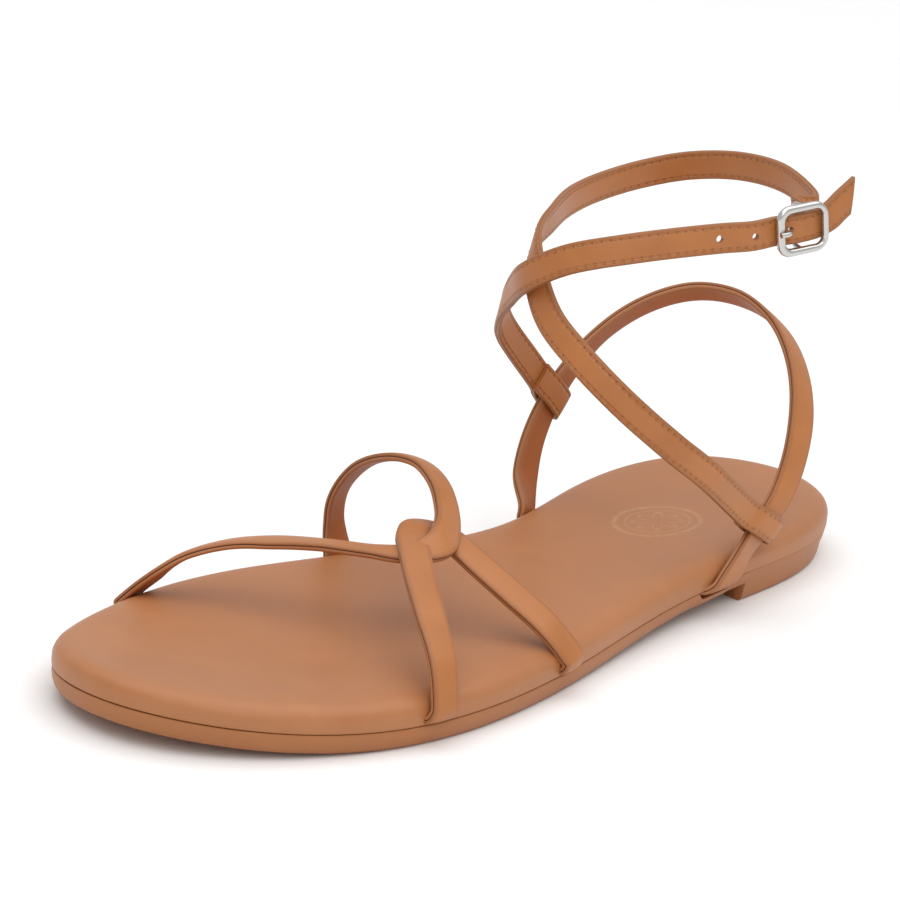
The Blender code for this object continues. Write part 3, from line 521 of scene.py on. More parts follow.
look = {
    "face": (0.40, 0.140, 0.034),
    "lining": (0.36, 0.105, 0.022),
    "edge": (0.34, 0.125, 0.040),
    # The cleft's near-black colour is painted shade in the groove between a strap's two layers
    "cleft": (0.10, 0.030, 0.010),
    "footbed": (0.39, 0.150, 0.052),
    "sole": (0.36, 0.130, 0.038),
    "thread": (0.38, 0.135, 0.036),
    "foil": (0.58, 0.37, 0.17),
    "steel": (0.58, 0.57, 0.55),
}


stitch = {
    "rowOffset": 0.0024,
    "rowWidth": 0.00045,
    "pitch": 0.0021,
    "length": 0.0013,
    "thickness": 0.00036,
    "sink": 0.00006,
}

strapSize = {
    "toe": (0.0072, 0.0020),
    "heel": (0.0070, 0.0020),
    "ankle": (0.0069, 0.0016),
}
rowDepth = {"channel": 0.00016, "dimple": 0.00022}


# A strap's width darkens its colour towards its rims, and a stitched strap has its two rows of stitches
# pressed in, with painted shade darkening each stitch dimple
def leatherMaterial(name, colour, shine, mottle, poreSize, poreDepth, width=None, stitched=False):
    material, shader = newMaterial(name, colour, shine)
    build = Tree(material.node_tree)
    place = build.node("ShaderNodeTexCoord").outputs["Object"]
    values = {"Position": place, "Colour": (*colour, 1.0), "Shine": shine}
    values |= {"Mottle": mottle, "Pore Size": poreSize}
    skin = build.node("ShaderNodeGroup", values, node_tree=skinGroup)
    colourOut = skin.outputs["Colour"]
    height = build.math("MULTIPLY", skin.outputs["Height"], poreDepth)
    if width:
        uv = build.node("ShaderNodeUVMap", uv_map="strap").outputs["UV"]
        rim = build.node("ShaderNodeGroup", {"Strap UV": uv, "Half Width": width / 2}, node_tree=edgeGroup)
        dark = build.math("MULTIPLY", rim.outputs["Rim"], 0.75)
        colourOut = build.mix(dark, colourOut, (*[c * 0.62 for c in colour], 1.0))
    if stitched:
        row = build.node("ShaderNodeGroup", {"Strap UV": uv}, node_tree=rowGroup)
        for label, size in (("Row Offset", "rowOffset"), ("Row Width", "rowWidth"), ("Pitch", "pitch")):
            build.put(stitch[size], row.inputs[label])
        channel = build.math("MULTIPLY", row.outputs["Depth"], rowDepth["channel"])
        dimple = build.math("MULTIPLY", row.outputs["Dimple"], rowDepth["dimple"])
        height = build.math("SUBTRACT", build.math("SUBTRACT", height, channel), dimple)
        # Painted shade: the colour darkens in each stitch dimple, where the hole falls into shade
        dark = build.math("MULTIPLY", row.outputs["Dimple"], 0.6)
        colourOut = build.mix(dark, colourOut, (*[c * 0.4 for c in colour], 1.0))
    build.put(colourOut, shader.inputs["Base Color"])
    build.put(skin.outputs["Roughness"], shader.inputs["Roughness"])
    bumped = build.node("ShaderNodeBump", {"Height": height, "Distance": 1.0, "Strength": 1.0})
    build.put(bumped.outputs["Normal"], shader.inputs["Normal"])
    return material


toeWidth = strapSize["toe"][0]
ankleWidth = strapSize["ankle"][0]
toeFace = leatherMaterial("toeStrapFace", look["face"], 0.43, 0.10, 0.00042, 0.00005, toeWidth)
toeLining = leatherMaterial("strapLining", look["lining"], 0.55, 0.08, 0.0006, 0.00004)
strapEdge = leatherMaterial("strapEdge", look["edge"], 0.5, 0.10, 0.0004, 0.00005)
# Painted shade: the groove between the strap's two layers is coloured near-black
paintedCleftShade = newMaterial("paintedCleftShade", look["cleft"], 0.8)[0]
ankleFace = leatherMaterial("ankleStrapFace", look["face"], 0.44, 0.11, 0.00042, 0.00005, ankleWidth, True)
print("materials made", flush=True)


# Strap seats
seat = {
    "tuck": 0.0070,
    "bend": 0.0010,
    "heelDrop": 0.0015,
}


# Where a strap's end presses the sole's top down
notches = []


# A strap's end: flat between sole and footbed, then bent up the footbed's side
def seatPoints(side, place, thickness, drop=0.0):
    point, outward, forward = edgeAt(side, place["along"])
    slant = place["slant"]
    seam = seamHeight(point[1])
    hidden = seam + last["gap"] * 0.8 + thickness / 2 - drop
    proud = last["gap"] + thickness / 2
    bend = thickness / 2 + seat["bend"]
    level = np.array([outward[0], outward[1], 0.0])
    down = np.array([0.0, 0.0, -1.0])
    start = proud - bend
    stages = [(out, hidden, out - start, down) for out in (-seat["tuck"], -seat["tuck"] * 0.6)]
    for turn in np.linspace(0, math.pi / 2, 7):
        out = start + bend * math.sin(turn)
        rise = hidden + bend * (1 - math.cos(turn))
        stages.append((out, rise, bend * turn, level * math.sin(turn) + down * math.cos(turn)))
    above = seam + last["footbedThickness"] * (0.9 if drop else 0.6) - drop
    stages.append((proud, above, above - hidden - bend + bend * math.pi / 2, level))
    turned = np.sign(np.dot(np.cross([0.0, 0.0, 1.0], level)[:2], forward))
    places = []
    outs = []
    for out, height, run, facing in stages:
        flat = point + outward * out - forward * run * slant
        places.append(np.array([flat[0], flat[1], height]))
        outs.append(facing)
    if drop:
        notch = {"point": point, "outward": outward, "forward": forward}
        notches.append({**notch, "slant": slant, "start": start, "depth": drop})
    return places, outs, [-turned * slant] * len(stages)


def seatedRoute(start, middle, looks, end):
    places = [*start[0], *middle, *end[0][::-1]]
    outs = [*start[1], *looks, *end[1][::-1]]
    shears = [*start[2], *[0.0] * len(middle), *end[2][::-1]]
    return Route(places, outs, shears)


# Toe straps. Rows: across, along and rise as shares of ball width, length and toe arch, and the face's turn
toeStraps = {
    "outerSeats": {"front": {"along": 0.782, "slant": 0.25}, "back": {"along": 0.588, "slant": -0.05}},
    "innerSeats": {"front": {"along": 0.790, "slant": 0.35}, "back": {"along": 0.545, "slant": 0.05}},
    "middleLine": ((0.00, 0.95, -0.30), (0.00, 0.45, -0.20)),
    "outer": [
        (0.46, 0.77, 0.22, -0.10),
        (0.35, 0.74, 0.42, -0.15),
        (0.22, 0.70, 0.56, -0.10),
        (0.11, 0.66, 0.62, -0.05),
        (0.035, 0.63, 0.62, 0.0),
        (0.005, 0.605, 0.63, 0.0),
        (0.05, 0.59, 0.58, 0.0),
        (0.13, 0.60, 0.55, 0.05),
        (0.22, 0.605, 0.46, 0.10),
        (0.32, 0.605, 0.33, 0.10),
        (0.425, 0.60, 0.15, 0.05),
    ],
    "inner": [
        (-0.44, 0.78, 0.16, 0.10),
        (-0.40, 0.76, 0.31, 0.15),
        (-0.33, 0.73, 0.42, 0.15),
        (-0.24, 0.705, 0.47, 0.10),
        (-0.115, 0.69, 0.53, -0.05),
        (0.01, 0.675, 0.56, -0.10),
        (0.095, 0.66, 0.585, -0.05),
        (0.125, 0.635, 0.62, 0.10),
        (0.09, 0.605, 0.67, 0.40),
        (0.03, 0.58, 0.77, 0.40),
        (-0.02, 0.57, 0.90, 0.35),
        (-0.10, 0.56, 0.98, 0.30),
        (-0.18, 0.56, 0.98, 0.20),
        (-0.30, 0.555, 0.82, 0.05),
        (-0.385, 0.55, 0.50, -0.10),
        (-0.405, 0.545, 0.22, -0.15),
    ],
}
toeSection = strapSection(*strapSize["toe"], crown=0.00018, rim=0.00045, cleft=0.00020)
toePieces = []
for side in ("outer", "inner"):
    rows = toeStraps[side]
    seats = toeStraps[side + "Seats"]
    middle = [footPoint(*row[:3], last["toeArch"]) for row in rows]
    route = seatedRoute(
        seatPoints(side, seats["front"], strapSize["toe"][1]),
        middle,
        facesFrom(toeStraps["middleLine"], rows, middle),
        seatPoints(side, seats["back"], strapSize["toe"][1]),
    )
    toePieces.append(strapObject(side + "ToeStrap", route, toeSection))
print("toe straps made", flush=True)

# Heel strap
heelStrap = {
    "seats": {"outer": {"along": 0.306, "slant": 1.20}, "inner": {"along": 0.31, "slant": 0.20}},
    "middleLine": ((0.02, 0.00, 0.10), (0.02, 0.50, 0.30)),
    "rows": [
        (0.365, 0.26, 0.05, -0.05),
        (0.37, 0.21, 0.20, -0.15),
        (0.335, 0.175, 0.37, -0.10),
        (0.25, 0.145, 0.50, 0.10),
        (0.12, 0.12, 0.59, 0.25),
        (0.00, 0.12, 0.635, 0.35),
        (-0.12, 0.135, 0.635, 0.30),
        (-0.22, 0.165, 0.585, 0.20),
        (-0.29, 0.205, 0.49, 0.10),
        (-0.325, 0.25, 0.34, 0.10),
        (-0.335, 0.275, 0.20, 0.10),
        (-0.32, 0.29, 0.08, 0.15),
    ],
}
middle = [footPoint(*row[:3], last["ankleHeight"]) for row in heelStrap["rows"]]
heelRoute = seatedRoute(
    seatPoints("outer", heelStrap["seats"]["outer"], strapSize["heel"][1], seat["heelDrop"]),
    middle,
    facesFrom(heelStrap["middleLine"], heelStrap["rows"], middle),
    seatPoints("inner", heelStrap["seats"]["inner"], strapSize["heel"][1]),
)
heelSection = strapSection(*strapSize["heel"], crown=0.00016, rim=0.00042, cleft=0.00020)
heelPiece = strapObject("heelStrap", heelRoute, heelSection)
print("heel strap made", flush=True)

# Buckle place and depths
buckle = {
    "place": (0.425, 0.28, 1.05),
    "turn": math.radians(65),
    "slope": math.radians(9),
    "width": 0.0134,
    "height": 0.0120,
    "corner": 0.0026,
    "wire": 0.0018,
    "barWire": 0.0012,
    "prongWire": 0.0011,
    "prongShare": 0.19,
    "foldWall": 0.0009,
}
buckleMiddle = footPoint(*buckle["place"], last["ankleHeight"])
flatShare = math.cos(buckle["slope"])
buckleAhead = np.array(
    [math.cos(buckle["turn"]) * flatShare, math.sin(buckle["turn"]) * flatShare, math.sin(buckle["slope"])]
)
buckleOut = unit(np.array([math.sin(buckle["turn"]), -math.cos(buckle["turn"]), 0.0]))
buckleUp = np.cross(buckleOut, buckleAhead)
ankleThickness = strapSize["ankle"][1]
eyeRadius = buckle["barWire"] / 2 + last["gap"] + buckle["prongWire"] / 2
strapOverBar = eyeRadius + buckle["prongWire"] / 2 + last["gap"] + ankleThickness / 2
strapAtSides = strapOverBar - 0.0010
frameOut = strapAtSides + ankleThickness / 2 + last["gap"] + buckle["wire"] / 2
sideBar = buckle["width"] / 2 - buckle["wire"] / 2
prongAt = -buckle["width"] * buckle["prongShare"]


def inBuckle(along, out, up=0.0):
    return buckleMiddle + buckleAhead * along + buckleOut * out + buckleUp * up


# Ankle straps
ankle = {
    "loopAt": {"buckleSide": 0.16, "holeSide": 0.795},
    "loopEase": 0.0007,
    "loopWall": 0.0012,
    "middleLine": ((0.02, 0.28, -0.20), (0.05, 0.30, 1.40)),
    "buckleSide": [
        (0.39, 0.30, 0.215, 0.10),
        (0.38, 0.35, 0.33, 0.10),
        (0.345, 0.395, 0.43, 0.15),
        (0.255, 0.435, 0.555, 0.10),
        (0.13, 0.45, 0.665, 0.20),
        (0.015, 0.445, 0.745, 0.20),
        (-0.07, 0.43, 0.835, 0.15),
        (-0.135, 0.405, 0.91, 0.0),
        (-0.20, 0.35, 0.94, 0.0),
        (-0.275, 0.285, 0.945, -0.05),
        (-0.30, 0.225, 0.955, 0.0),
        (-0.265, 0.175, 0.98, 0.05),
        (-0.165, 0.155, 1.02, 0.05),
        (-0.02, 0.15, 1.055, 0.05),
        (0.13, 0.16, 1.07, 0.05),
        (0.25, 0.18, 1.065, 0.10),
        (0.36, 0.21, 1.045, 0.0),
    ],
    "holeSide": [
        (-0.36, 0.30, 0.455, -0.10),
        (-0.335, 0.34, 0.565, -0.15),
        (-0.26, 0.385, 0.67, -0.15),
        (-0.165, 0.42, 0.765, -0.10),
        (-0.06, 0.45, 0.85, -0.10),
        (0.06, 0.45, 0.93, -0.15),
        (0.20, 0.42, 0.985, -0.10),
        (0.34, 0.355, 1.02, -0.10),
    ],
    # Shares of the buckle's width ahead, out and up, then the slant that keeps the cut end upright
    "tip": [(0.66, -0.03, 0.07, -0.15), (0.88, -0.08, 0.18, -0.45), (1.13, -0.13, 0.30, -0.80)],
    "holeDiameter": 0.0017,
    "holePitch": 0.0088,
    "holesBefore": 2,
}


# An ankle strap's end, from its sewn inner leaf round the heel strap and over its face
def loopPlaces(which, firstPlace):
    run = heelRoute.run[-1] * ankle["loopAt"][which]
    place, ahead, across, outward = heelRoute.at(run)
    ahead, across, outward = unit(ahead), unit(across), unit(outward)
    side = across if np.dot(across, firstPlace - place) > 0 else -across
    way = firstPlace - place
    way = unit(way - outward * np.dot(way, outward))
    cast = 1 / np.dot(way, side)
    shear = -np.dot(np.cross(way, outward), side) / np.dot(way, side)
    width = np.cross(way, outward) + way * shear
    wall = ankle["loopWall"]
    deep = strapSize["heel"][1] / 2 + ankle["loopEase"] * 0.5 + wall / 2
    reach = strapSize["heel"][0] / 2 + ankle["loopEase"] + wall / 2
    # Shares of the loop's reach and depth, from the inner leaf's end to where the leaves meet
    steps = [
        (1.75, -0.34),
        (1.45, -0.42),
        (1.05, -0.68),
        (0.62, -1.0),
        (-0.55, -1.0),
        (-0.90, -0.66),
        (-1.00, 0.0),
        (-0.90, 0.66),
        (-0.55, 1.0),
        (0.60, 1.0),
        (1.05, 0.80),
        (1.45, 0.42),
    ]
    places = [place + way * s * reach * cast + outward * d * deep for s, d in steps]
    outs = []
    for s, d in steps:
        if abs(s) > 0.8 and abs(d) < 0.9 and s < 0:
            outs.append(unit(-way * 0.9 + outward * d))
        else:
            outs.append(outward * (1 if d > 0 else -1))
    thin = wall / ankleThickness
    shares = [thin * 0.9] * 9 + [0.85, 0.95, 1.0]
    return places, outs, [width] * len(steps), shares


def ankleRoute(which, endPlaces, endOuts, endShares, endShears):
    rows = ankle[which]
    middle = [footPoint(*row[:3], last["ankleHeight"]) for row in rows]
    places, outs, sides, shares = loopPlaces(which, middle[0])
    free = len(middle) - 1
    places = [*places, *middle[1:], *endPlaces]
    outs = [*outs, *facesFrom(ankle["middleLine"], rows, middle)[1:], *endOuts]
    sides = [*sides, *[0.0] * free, *endShears]
    shares = [*shares, *[1.0] * free, *endShares]
    return Route(places, outs, sides, shares)


fold = buckle["barWire"] / 2 + last["gap"] + buckle["foldWall"] / 2
# The folded end round the centre bar: places ahead and out, and the way that the face looks there
foldSteps = [
    ((0.0056, -0.0086), (1.0, 0.0)),
    ((0.0051, -0.0050), (1.0, 0.4)),
    ((0.0041, -0.0027), (0.6, 1.0)),
    ((0.0022, -fold), (0.0, 1.0)),
    ((0.0, -fold), (0.0, 1.0)),
    ((-fold * 0.75, -fold * 0.7), (1.0, 1.0)),
    ((-fold, 0.0), (1.0, 0.0)),
    ((-fold * 0.75, fold * 0.7), (1.0, -1.0)),
    ((0.0, fold), (0.0, -1.0)),
    ((0.0020, fold), (0.0, -1.0)),
]
foldPlaces = [inBuckle(*place) for place, facing in foldSteps]
foldOuts = [unit(buckleAhead * ahead + buckleOut * out) for place, (ahead, out) in foldSteps]
foldShares = [1.0, 1.0, 0.8] + [buckle["foldWall"] / ankleThickness] * 7
buckleRoute = ankleRoute("buckleSide", foldPlaces, foldOuts, foldShares, [0.0] * len(foldSteps))

wide = buckle["width"]
strapDip = 0.0002
threaded = [
    (-sideBar - wide * 0.45, strapAtSides),
    (-sideBar, strapAtSides),
    (-sideBar / 2, strapOverBar - strapDip),
    (0.0, strapOverBar),
    (sideBar / 2, strapOverBar - strapDip),
    (sideBar, strapAtSides),
]
endPlaces = [inBuckle(*place) for place in threaded]
endShears = [0.0] * len(threaded)
for ahead, out, up, slant in ankle["tip"]:
    endPlaces.append(inBuckle(ahead * wide, strapAtSides + out * wide, up * wide))
    endShears.append(slant)
ends = len(endPlaces)
holeRoute = ankleRoute("holeSide", endPlaces, [buckleOut] * ends, [1.0] * ends, endShears)

ankleSection = strapSection(*strapSize["ankle"], crown=0.00014, rim=0.00036, cleft=0.00010)
buckleStrap = strapObject("buckleSideStrap", buckleRoute, ankleSection)
holeStrap = strapObject("holeSideStrap", holeRoute, ankleSection)


def roundCutter(name, place, axis, radius, depth):
    tools = bmesh.new()
    bmesh.ops.create_cone(tools, cap_ends=True, segments=28, radius1=radius, radius2=radius, depth=depth)
    bmesh.ops.transform(tools, matrix=Matrix.Translation(place) @ axisTurn(axis), verts=tools.verts)
    mesh = bpy.data.meshes.new(name)
    tools.to_mesh(mesh)
    tools.free()
    obj = bpy.data.objects.new(name, mesh)
    bpy.context.scene.collection.objects.link(obj)
    return obj


def axisTurn(axis):
    return Vector(axis).to_track_quat("Z", "Y").to_matrix().to_4x4()


prongHole = inBuckle(prongAt, strapOverBar - last["gap"])
inUse = holeRoute.run[np.argmin(np.linalg.norm(holeRoute.curve - prongHole, axis=1))]
cutters = []
for number in range(ankle["holesBefore"] + 1):
    place, ahead, side, out = holeRoute.at(inUse - number * ankle["holePitch"])
    cutters.append(roundCutter(f"punch{number}", place, out, ankle["holeDiameter"] / 2, 0.006))
cutWith(holeStrap, cutters)
print("ankle straps made", flush=True)


# Stitches
def stitchTree():
    tree = bpy.data.node_groups.new("stitches", "GeometryNodeTree")
    tree.interface.new_socket("Geometry", in_out="INPUT", socket_type="NodeSocketGeometry")
    for label, value in (("Pitch", 0.0026), ("Length", 0.0019), ("Thickness", 0.00046), ("Wobble", 0.05)):
        tree.interface.new_socket(label, in_out="INPUT", socket_type="NodeSocketFloat").default_value = value
    tree.interface.new_socket("Seed", in_out="INPUT", socket_type="NodeSocketInt").default_value = 7
    tree.interface.new_socket("Material", in_out="INPUT", socket_type="NodeSocketMaterial")
    tree.interface.new_socket("Geometry", in_out="OUTPUT", socket_type="NodeSocketGeometry")
    build = Tree(tree)
    source = tree.nodes.new("NodeGroupInput").outputs
    end = tree.nodes.new("NodeGroupOutput")
    curve = build.node("GeometryNodeMeshToCurve", {"Mesh": source["Geometry"]})
    spacing = {"Curve": curve.outputs["Curve"], "Length": source["Pitch"]}
    spaced = build.node("GeometryNodeResampleCurve", spacing, mode="LENGTH")
    bead = build.node("GeometryNodeMeshUVSphere", {"Segments": 8, "Rings": 7, "Radius": 0.5})
    facing = build.node("GeometryNodeInputNamedAttribute", {"Name": "facing"}, data_type="FLOAT_VECTOR")
    tangent = build.node("GeometryNodeInputTangent")
    alongTurn = build.node("FunctionNodeAlignEulerToVector", {"Vector": tangent.outputs["Tangent"]}, axis="X")
    fullTurn = build.node(
        "FunctionNodeAlignEulerToVector",
        {"Rotation": alongTurn.outputs["Rotation"], "Vector": facing.outputs["Attribute"]},
        axis="Z",
        pivot_axis="X",
    )
    wobble = build.node("FunctionNodeRandomValue", {"Seed": source["Seed"]}, data_type="FLOAT")
    low = build.math("MULTIPLY", source["Wobble"], -1.0)
    build.put(low, wobble.inputs[2])
    build.put(source["Wobble"], wobble.inputs[3])
    swing = build.node("ShaderNodeCombineXYZ", {"Z": wobble.outputs[1]})
    swung = {"Rotation": fullTurn.outputs["Rotation"], "Rotate By": swing.outputs["Vector"]}
    turned = build.node("FunctionNodeRotateEuler", swung, space="LOCAL")
    beadSize = {"X": source["Length"], "Y": source["Thickness"], "Z": source["Thickness"]}
    scale = build.node("ShaderNodeCombineXYZ", beadSize)
    placed = build.node(
        "GeometryNodeInstanceOnPoints",
        {
            "Points": spaced.outputs["Curve"],
            "Instance": bead.outputs["Mesh"],
            "Rotation": turned.outputs["Rotation"],
            "Scale": scale.outputs["Vector"],
        },
    )
    real = build.node("GeometryNodeRealizeInstances", {"Geometry": placed.outputs["Instances"]})
    finish = {"Geometry": real.outputs["Geometry"], "Material": source["Material"]}
    painted = build.node("GeometryNodeSetMaterial", finish)
    build.put(painted.outputs["Geometry"], end.inputs["Geometry"])
    return tree


threadMaterial = newMaterial("thread", look["thread"], 0.62)[0]
stitchNodes = stitchTree()


def stitchLine(name, places, facings, seed):
    mesh = bpy.data.meshes.new(name)
    mesh.from_pydata([tuple(p) for p in places], [(i, i + 1) for i in range(len(places) - 1)], [])
    facing = mesh.attributes.new("facing", "FLOAT_VECTOR", "POINT")
    facing.data.foreach_set("vector", np.array(facings, np.float32).ravel())
    obj = bpy.data.objects.new(name, mesh)
    bpy.context.scene.collection.objects.link(obj)
    modifier = obj.modifiers.new("stitches", "NODES")
    modifier.node_group = stitchNodes
    values = {"Seed": seed, "Material": threadMaterial}
    values |= {label: stitch[label.lower()] for label in ("Pitch", "Length", "Thickness")}
    for item in stitchNodes.interface.items_tree:
        if item.in_out == "INPUT" and item.name in values:
            modifier[item.identifier] = values[item.name]
    applied(obj)
    obj.data.shade_smooth()
    return obj


# Two rows of stitches on a strap's face, from start to end in metres along it
def stitchRows(name, route, section, start, end, seed):
    rows = []
    keep = (route.run >= start) & (route.run <= end)
    us = [u for u, v, zone in section if zone == 0]
    vs = [v for u, v, zone in section if zone == 0]
    order = np.argsort(us)
    level = np.interp(stitch["rowOffset"], np.array(us)[order], np.array(vs)[order])
    for sign in (-1, 1):
        lift = (level - stitch["sink"]) * route.thick[keep][:, None]
        places = route.curve[keep] + route.side[keep] * sign * stitch["rowOffset"] + route.out[keep] * lift
        side = "Left" if sign < 0 else "Right"
        rows.append(stitchLine(name + side, places, route.out[keep], seed + sign))
    return rows


# Where the rows begin and end, from a strap's two ends
stitchEnds = {"loop": 0.030, "fold": 0.012, "tip": 0.0016}
buckleStop = buckleRoute.run[-1] - stitchEnds["fold"]
holeStop = holeRoute.run[-1] - stitchEnds["tip"]
stitches = stitchRows("buckleStrapStitches", buckleRoute, ankleSection, stitchEnds["loop"], buckleStop, 11)
stitches += stitchRows("holeStrapStitches", holeRoute, ankleSection, stitchEnds["loop"], holeStop, 21)
print("stitches made", flush=True)

# Sole and footbed
sole = {
    "inset": 0.0002,
    "breastCurve": 0.0030,
    "stations": 420,
    "breastFlat": 0.0012,
    "breastFade": 0.012,
    # Inset as a share of the wall's round, height as a share of the layer
    "wall": [
        (0.62, 0.00),
        (0.45, 0.00),
        (0.33, 0.02),
        (0.22, 0.06),
        (0.15, 0.15),
        (0.10, 0.25),
        (0.03, 0.50),
        (0.00, 0.70),
        (0.00, 0.86),
        (0.00, 0.965),
        (0.03, 1.00),
    ],
    "heelWall": [
        (0.50, 0.00),
        (0.36, 0.00),
        (0.30, 0.04),
        (0.24, 0.10),
        (0.20, 0.20),
        (0.17, 0.34),
        (0.13, 0.55),
        (0.06, 0.72),
        (0.02, 0.86),
        (0.00, 0.965),
        (0.00, 1.00),
    ],
}
footbed = {
    "dish": 0.0012,
    "dishEase": 0.030,
    "wall": [
        (0.60, 0.00),
        (0.12, 0.00),
        (0.06, 0.01),
        (0.03, 0.03),
        (0.01, 0.08),
        (0.00, 0.18),
        (0.00, 0.30),
        (0.00, 0.42),
        (0.02, 0.52),
        (0.06, 0.62),
        (0.12, 0.72),
        (0.22, 0.81),
        (0.35, 0.89),
        (0.50, 0.95),
        (0.70, 0.985),
        (0.95, 1.00),
    ],
}


def fineLoop(stations):
    outer = np.array([(np.interp(-y, -outerSide[:, 1], outerSide[:, 0]), y) for y in stations])
    inner = np.array([(np.interp(-y, -innerSide[:, 1], innerSide[:, 0]), y) for y in stations[1:-1]])
    return np.vstack([outer, inner[::-1]])


def insetLoop(loop, inset):
    ahead = np.roll(loop, -1, axis=0) - np.roll(loop, 1, axis=0)
    ahead /= np.linalg.norm(ahead, axis=1)[:, None]
    return loop + np.column_stack([ahead[:, 1], -ahead[:, 0]]) * np.reshape(inset, (-1, 1))


# How far the straps' tucked ends press the sole's top down here
def notchDepth(x, y):
    deepest = 0.0
    for notch in notches:
        offset = np.array([x, y]) - notch["point"]
        if abs(offset[0]) > 0.02 or abs(offset[1]) > 0.02:
            continue
        out = np.dot(offset, notch["outward"])
        if out < -seat["tuck"] - last["gap"]:
            continue
        centre = -(min(out, 0.0) - notch["start"]) * notch["slant"]
        across = abs(np.dot(offset, notch["forward"]) - centre)
        half = strapSize["heel"][0] / 2 * math.sqrt(1 + notch["slant"] ** 2) + last["gap"] * 1.3
        share = 1 - ease(half, half + 0.0005, across)
        deepest = max(deepest, share * (notch["depth"] + last["gap"]))
    return deepest


turns = np.linspace(0, math.pi, sole["stations"] + 1)
heelY = outerSide[0, 1]
toeY = outerSide[-1, 1]
stations = heelY + (toeY - heelY) * (1 - np.cos(turns)) / 2
breastY = alongToY(breastShare)
# Rows just behind and ahead of the heel's front face, so that the face is crisp
stations = np.array([y for y in stations if abs(y - breastY) > 0.0007])
breastRows = [breastY + d for d in (0.0006, 0.00025, 0.00008, -0.00008, -0.00035)]
stations = np.sort(np.concatenate([stations, breastRows]))[::-1]


def isHeel(y):
    return y > breastY


rungShares = np.array([0.0, 0.006, 0.014, 0.03, 0.06, 0.10, 0.15, 0.21, 0.28, 0.35, 0.42, 0.5])
rungShares = np.concatenate([rungShares, 1 - rungShares[-2::-1]])


# Closes a ring of 2 * half points with rungs from the outer to the inner side
def ladder(points, faces, start, half, place, upward):
    size = 2 * half
    rows = []
    for i in range(1, half):
        outer = np.array(points[start + i])
        inner = np.array(points[start + size - i])
        row = [start + i]
        for share in rungShares[1:-1]:
            flat = outer * (1 - share) + inner * share
            row.append(len(points))
            points.append(place(flat, share))
        row.append(start + size - i)
        rows.append(row)
    count = len(rungShares) - 1
    for low, high in zip(rows, rows[1:]):
        for k in range(count):
            quad = (low[k], low[k + 1], high[k + 1], high[k])
            faces.append(quad if upward else quad[::-1])
    for tip, row, turned in ((start, rows[0], False), (start + half, rows[-1], True)):
        for k in range(count):
            tri = (tip, row[k + 1], row[k]) if turned == upward else (tip, row[k], row[k + 1])
            faces.append(tri)


def soleLayer(name, wallOf, lowOf, highOf, baseInset, bottomPlace, topPlace):
    loop = fineLoop(stations)
    size = len(loop)
    half = size // 2
    points = []
    faces = []
    count = len(wallOf(0.0))
    for k in range(count):
        insets = np.array([baseInset + wallOf(y)[k][0] * last["wallRound"] for x, y in loop])
        ring = insetLoop(loop, insets)
        for (x0, y0), (x, y) in zip(loop, ring):
            low = lowOf(y0)
            high = highOf(x, y)
            points.append((x, y, low + wallOf(y0)[k][1] * (high - low)))
    for k in range(count - 1):
        for i in range(size):
            j = (i + 1) % size
            faces.append((k * size + i, k * size + j, (k + 1) * size + j, (k + 1) * size + i))
    ladder(points, faces, 0, half, bottomPlace, False)
    ladder(points, faces, (count - 1) * size, half, topPlace, True)
    obj = meshObject(name, points, faces, smooth=50)
    tools = bmesh.new()
    tools.from_mesh(obj.data)
    bmesh.ops.recalc_face_normals(tools, faces=tools.faces)
    tools.to_mesh(obj.data)
    tools.free()
    return obj


def bottomOfSole(flat, share):
    x, y, z = flat
    bow = sole["breastCurve"] * (1 - (2 * share - 1) ** 2)
    away = abs(y - breastY)
    if away < sole["breastFlat"]:
        y += bow
    elif away < sole["breastFade"]:
        y += bow * (1 - away / sole["breastFade"])
    return (x, y, z)


def topOfSole(flat, share):
    x, y, z = flat
    return (x, y, seamHeight(y) - last["seamGap"] / 2 - notchDepth(x, y))


outsolePiece = soleLayer(
    "unitSole",
    lambda y: sole["heelWall"] if isHeel(y) else sole["wall"],
    lambda y: 0.0 if isHeel(y) else underside(y),
    lambda x, y: seamHeight(y) - last["seamGap"] / 2 - notchDepth(x, y),
    sole["inset"],
    bottomOfSole,
    topOfSole,
)


def topOfFootbed(flat, share):
    x, y, z = flat
    depth = 1 - abs(2 * share - 1)
    # The dish fades out towards the heel's and the toe's ends, as it does towards the sides
    fromEnd = min(heelY - y, y - toeY) - last["wallRound"]
    dip = footbed["dish"] * ease(0.0, 0.75, depth) * ease(0.0, footbed["dishEase"], fromEnd)
    return (x, y, seamHeight(y) + last["footbedThickness"] - dip)


# Towards the heel the wall comes straight down to the seam
def footbedWall(y):
    crisp = 0.15 + 0.85 * ease(0.22, 0.50, yToAlong(y))
    rows = []
    for inset, height in footbed["wall"]:
        nearSeam = height < 0.2 and inset < 0.5
        rows.append((inset * crisp if nearSeam else inset, height))
    return rows


footbedPiece = soleLayer(
    "wrappedFootbed",
    footbedWall,
    lambda y: seamHeight(y) + last["seamGap"] / 2,
    lambda x, y: seamHeight(y) + last["footbedThickness"],
    0.0,
    lambda flat, share: tuple(flat),
    topOfFootbed,
)
print("sole made", flush=True)

footbedMaterial = leatherMaterial("footbedLeather", look["footbed"], 0.46, 0.07, 0.0005, 0.00004)
soleMaterial = leatherMaterial("soleRubber", look["sole"], 0.48, 0.06, 0.0008, 0.00004)


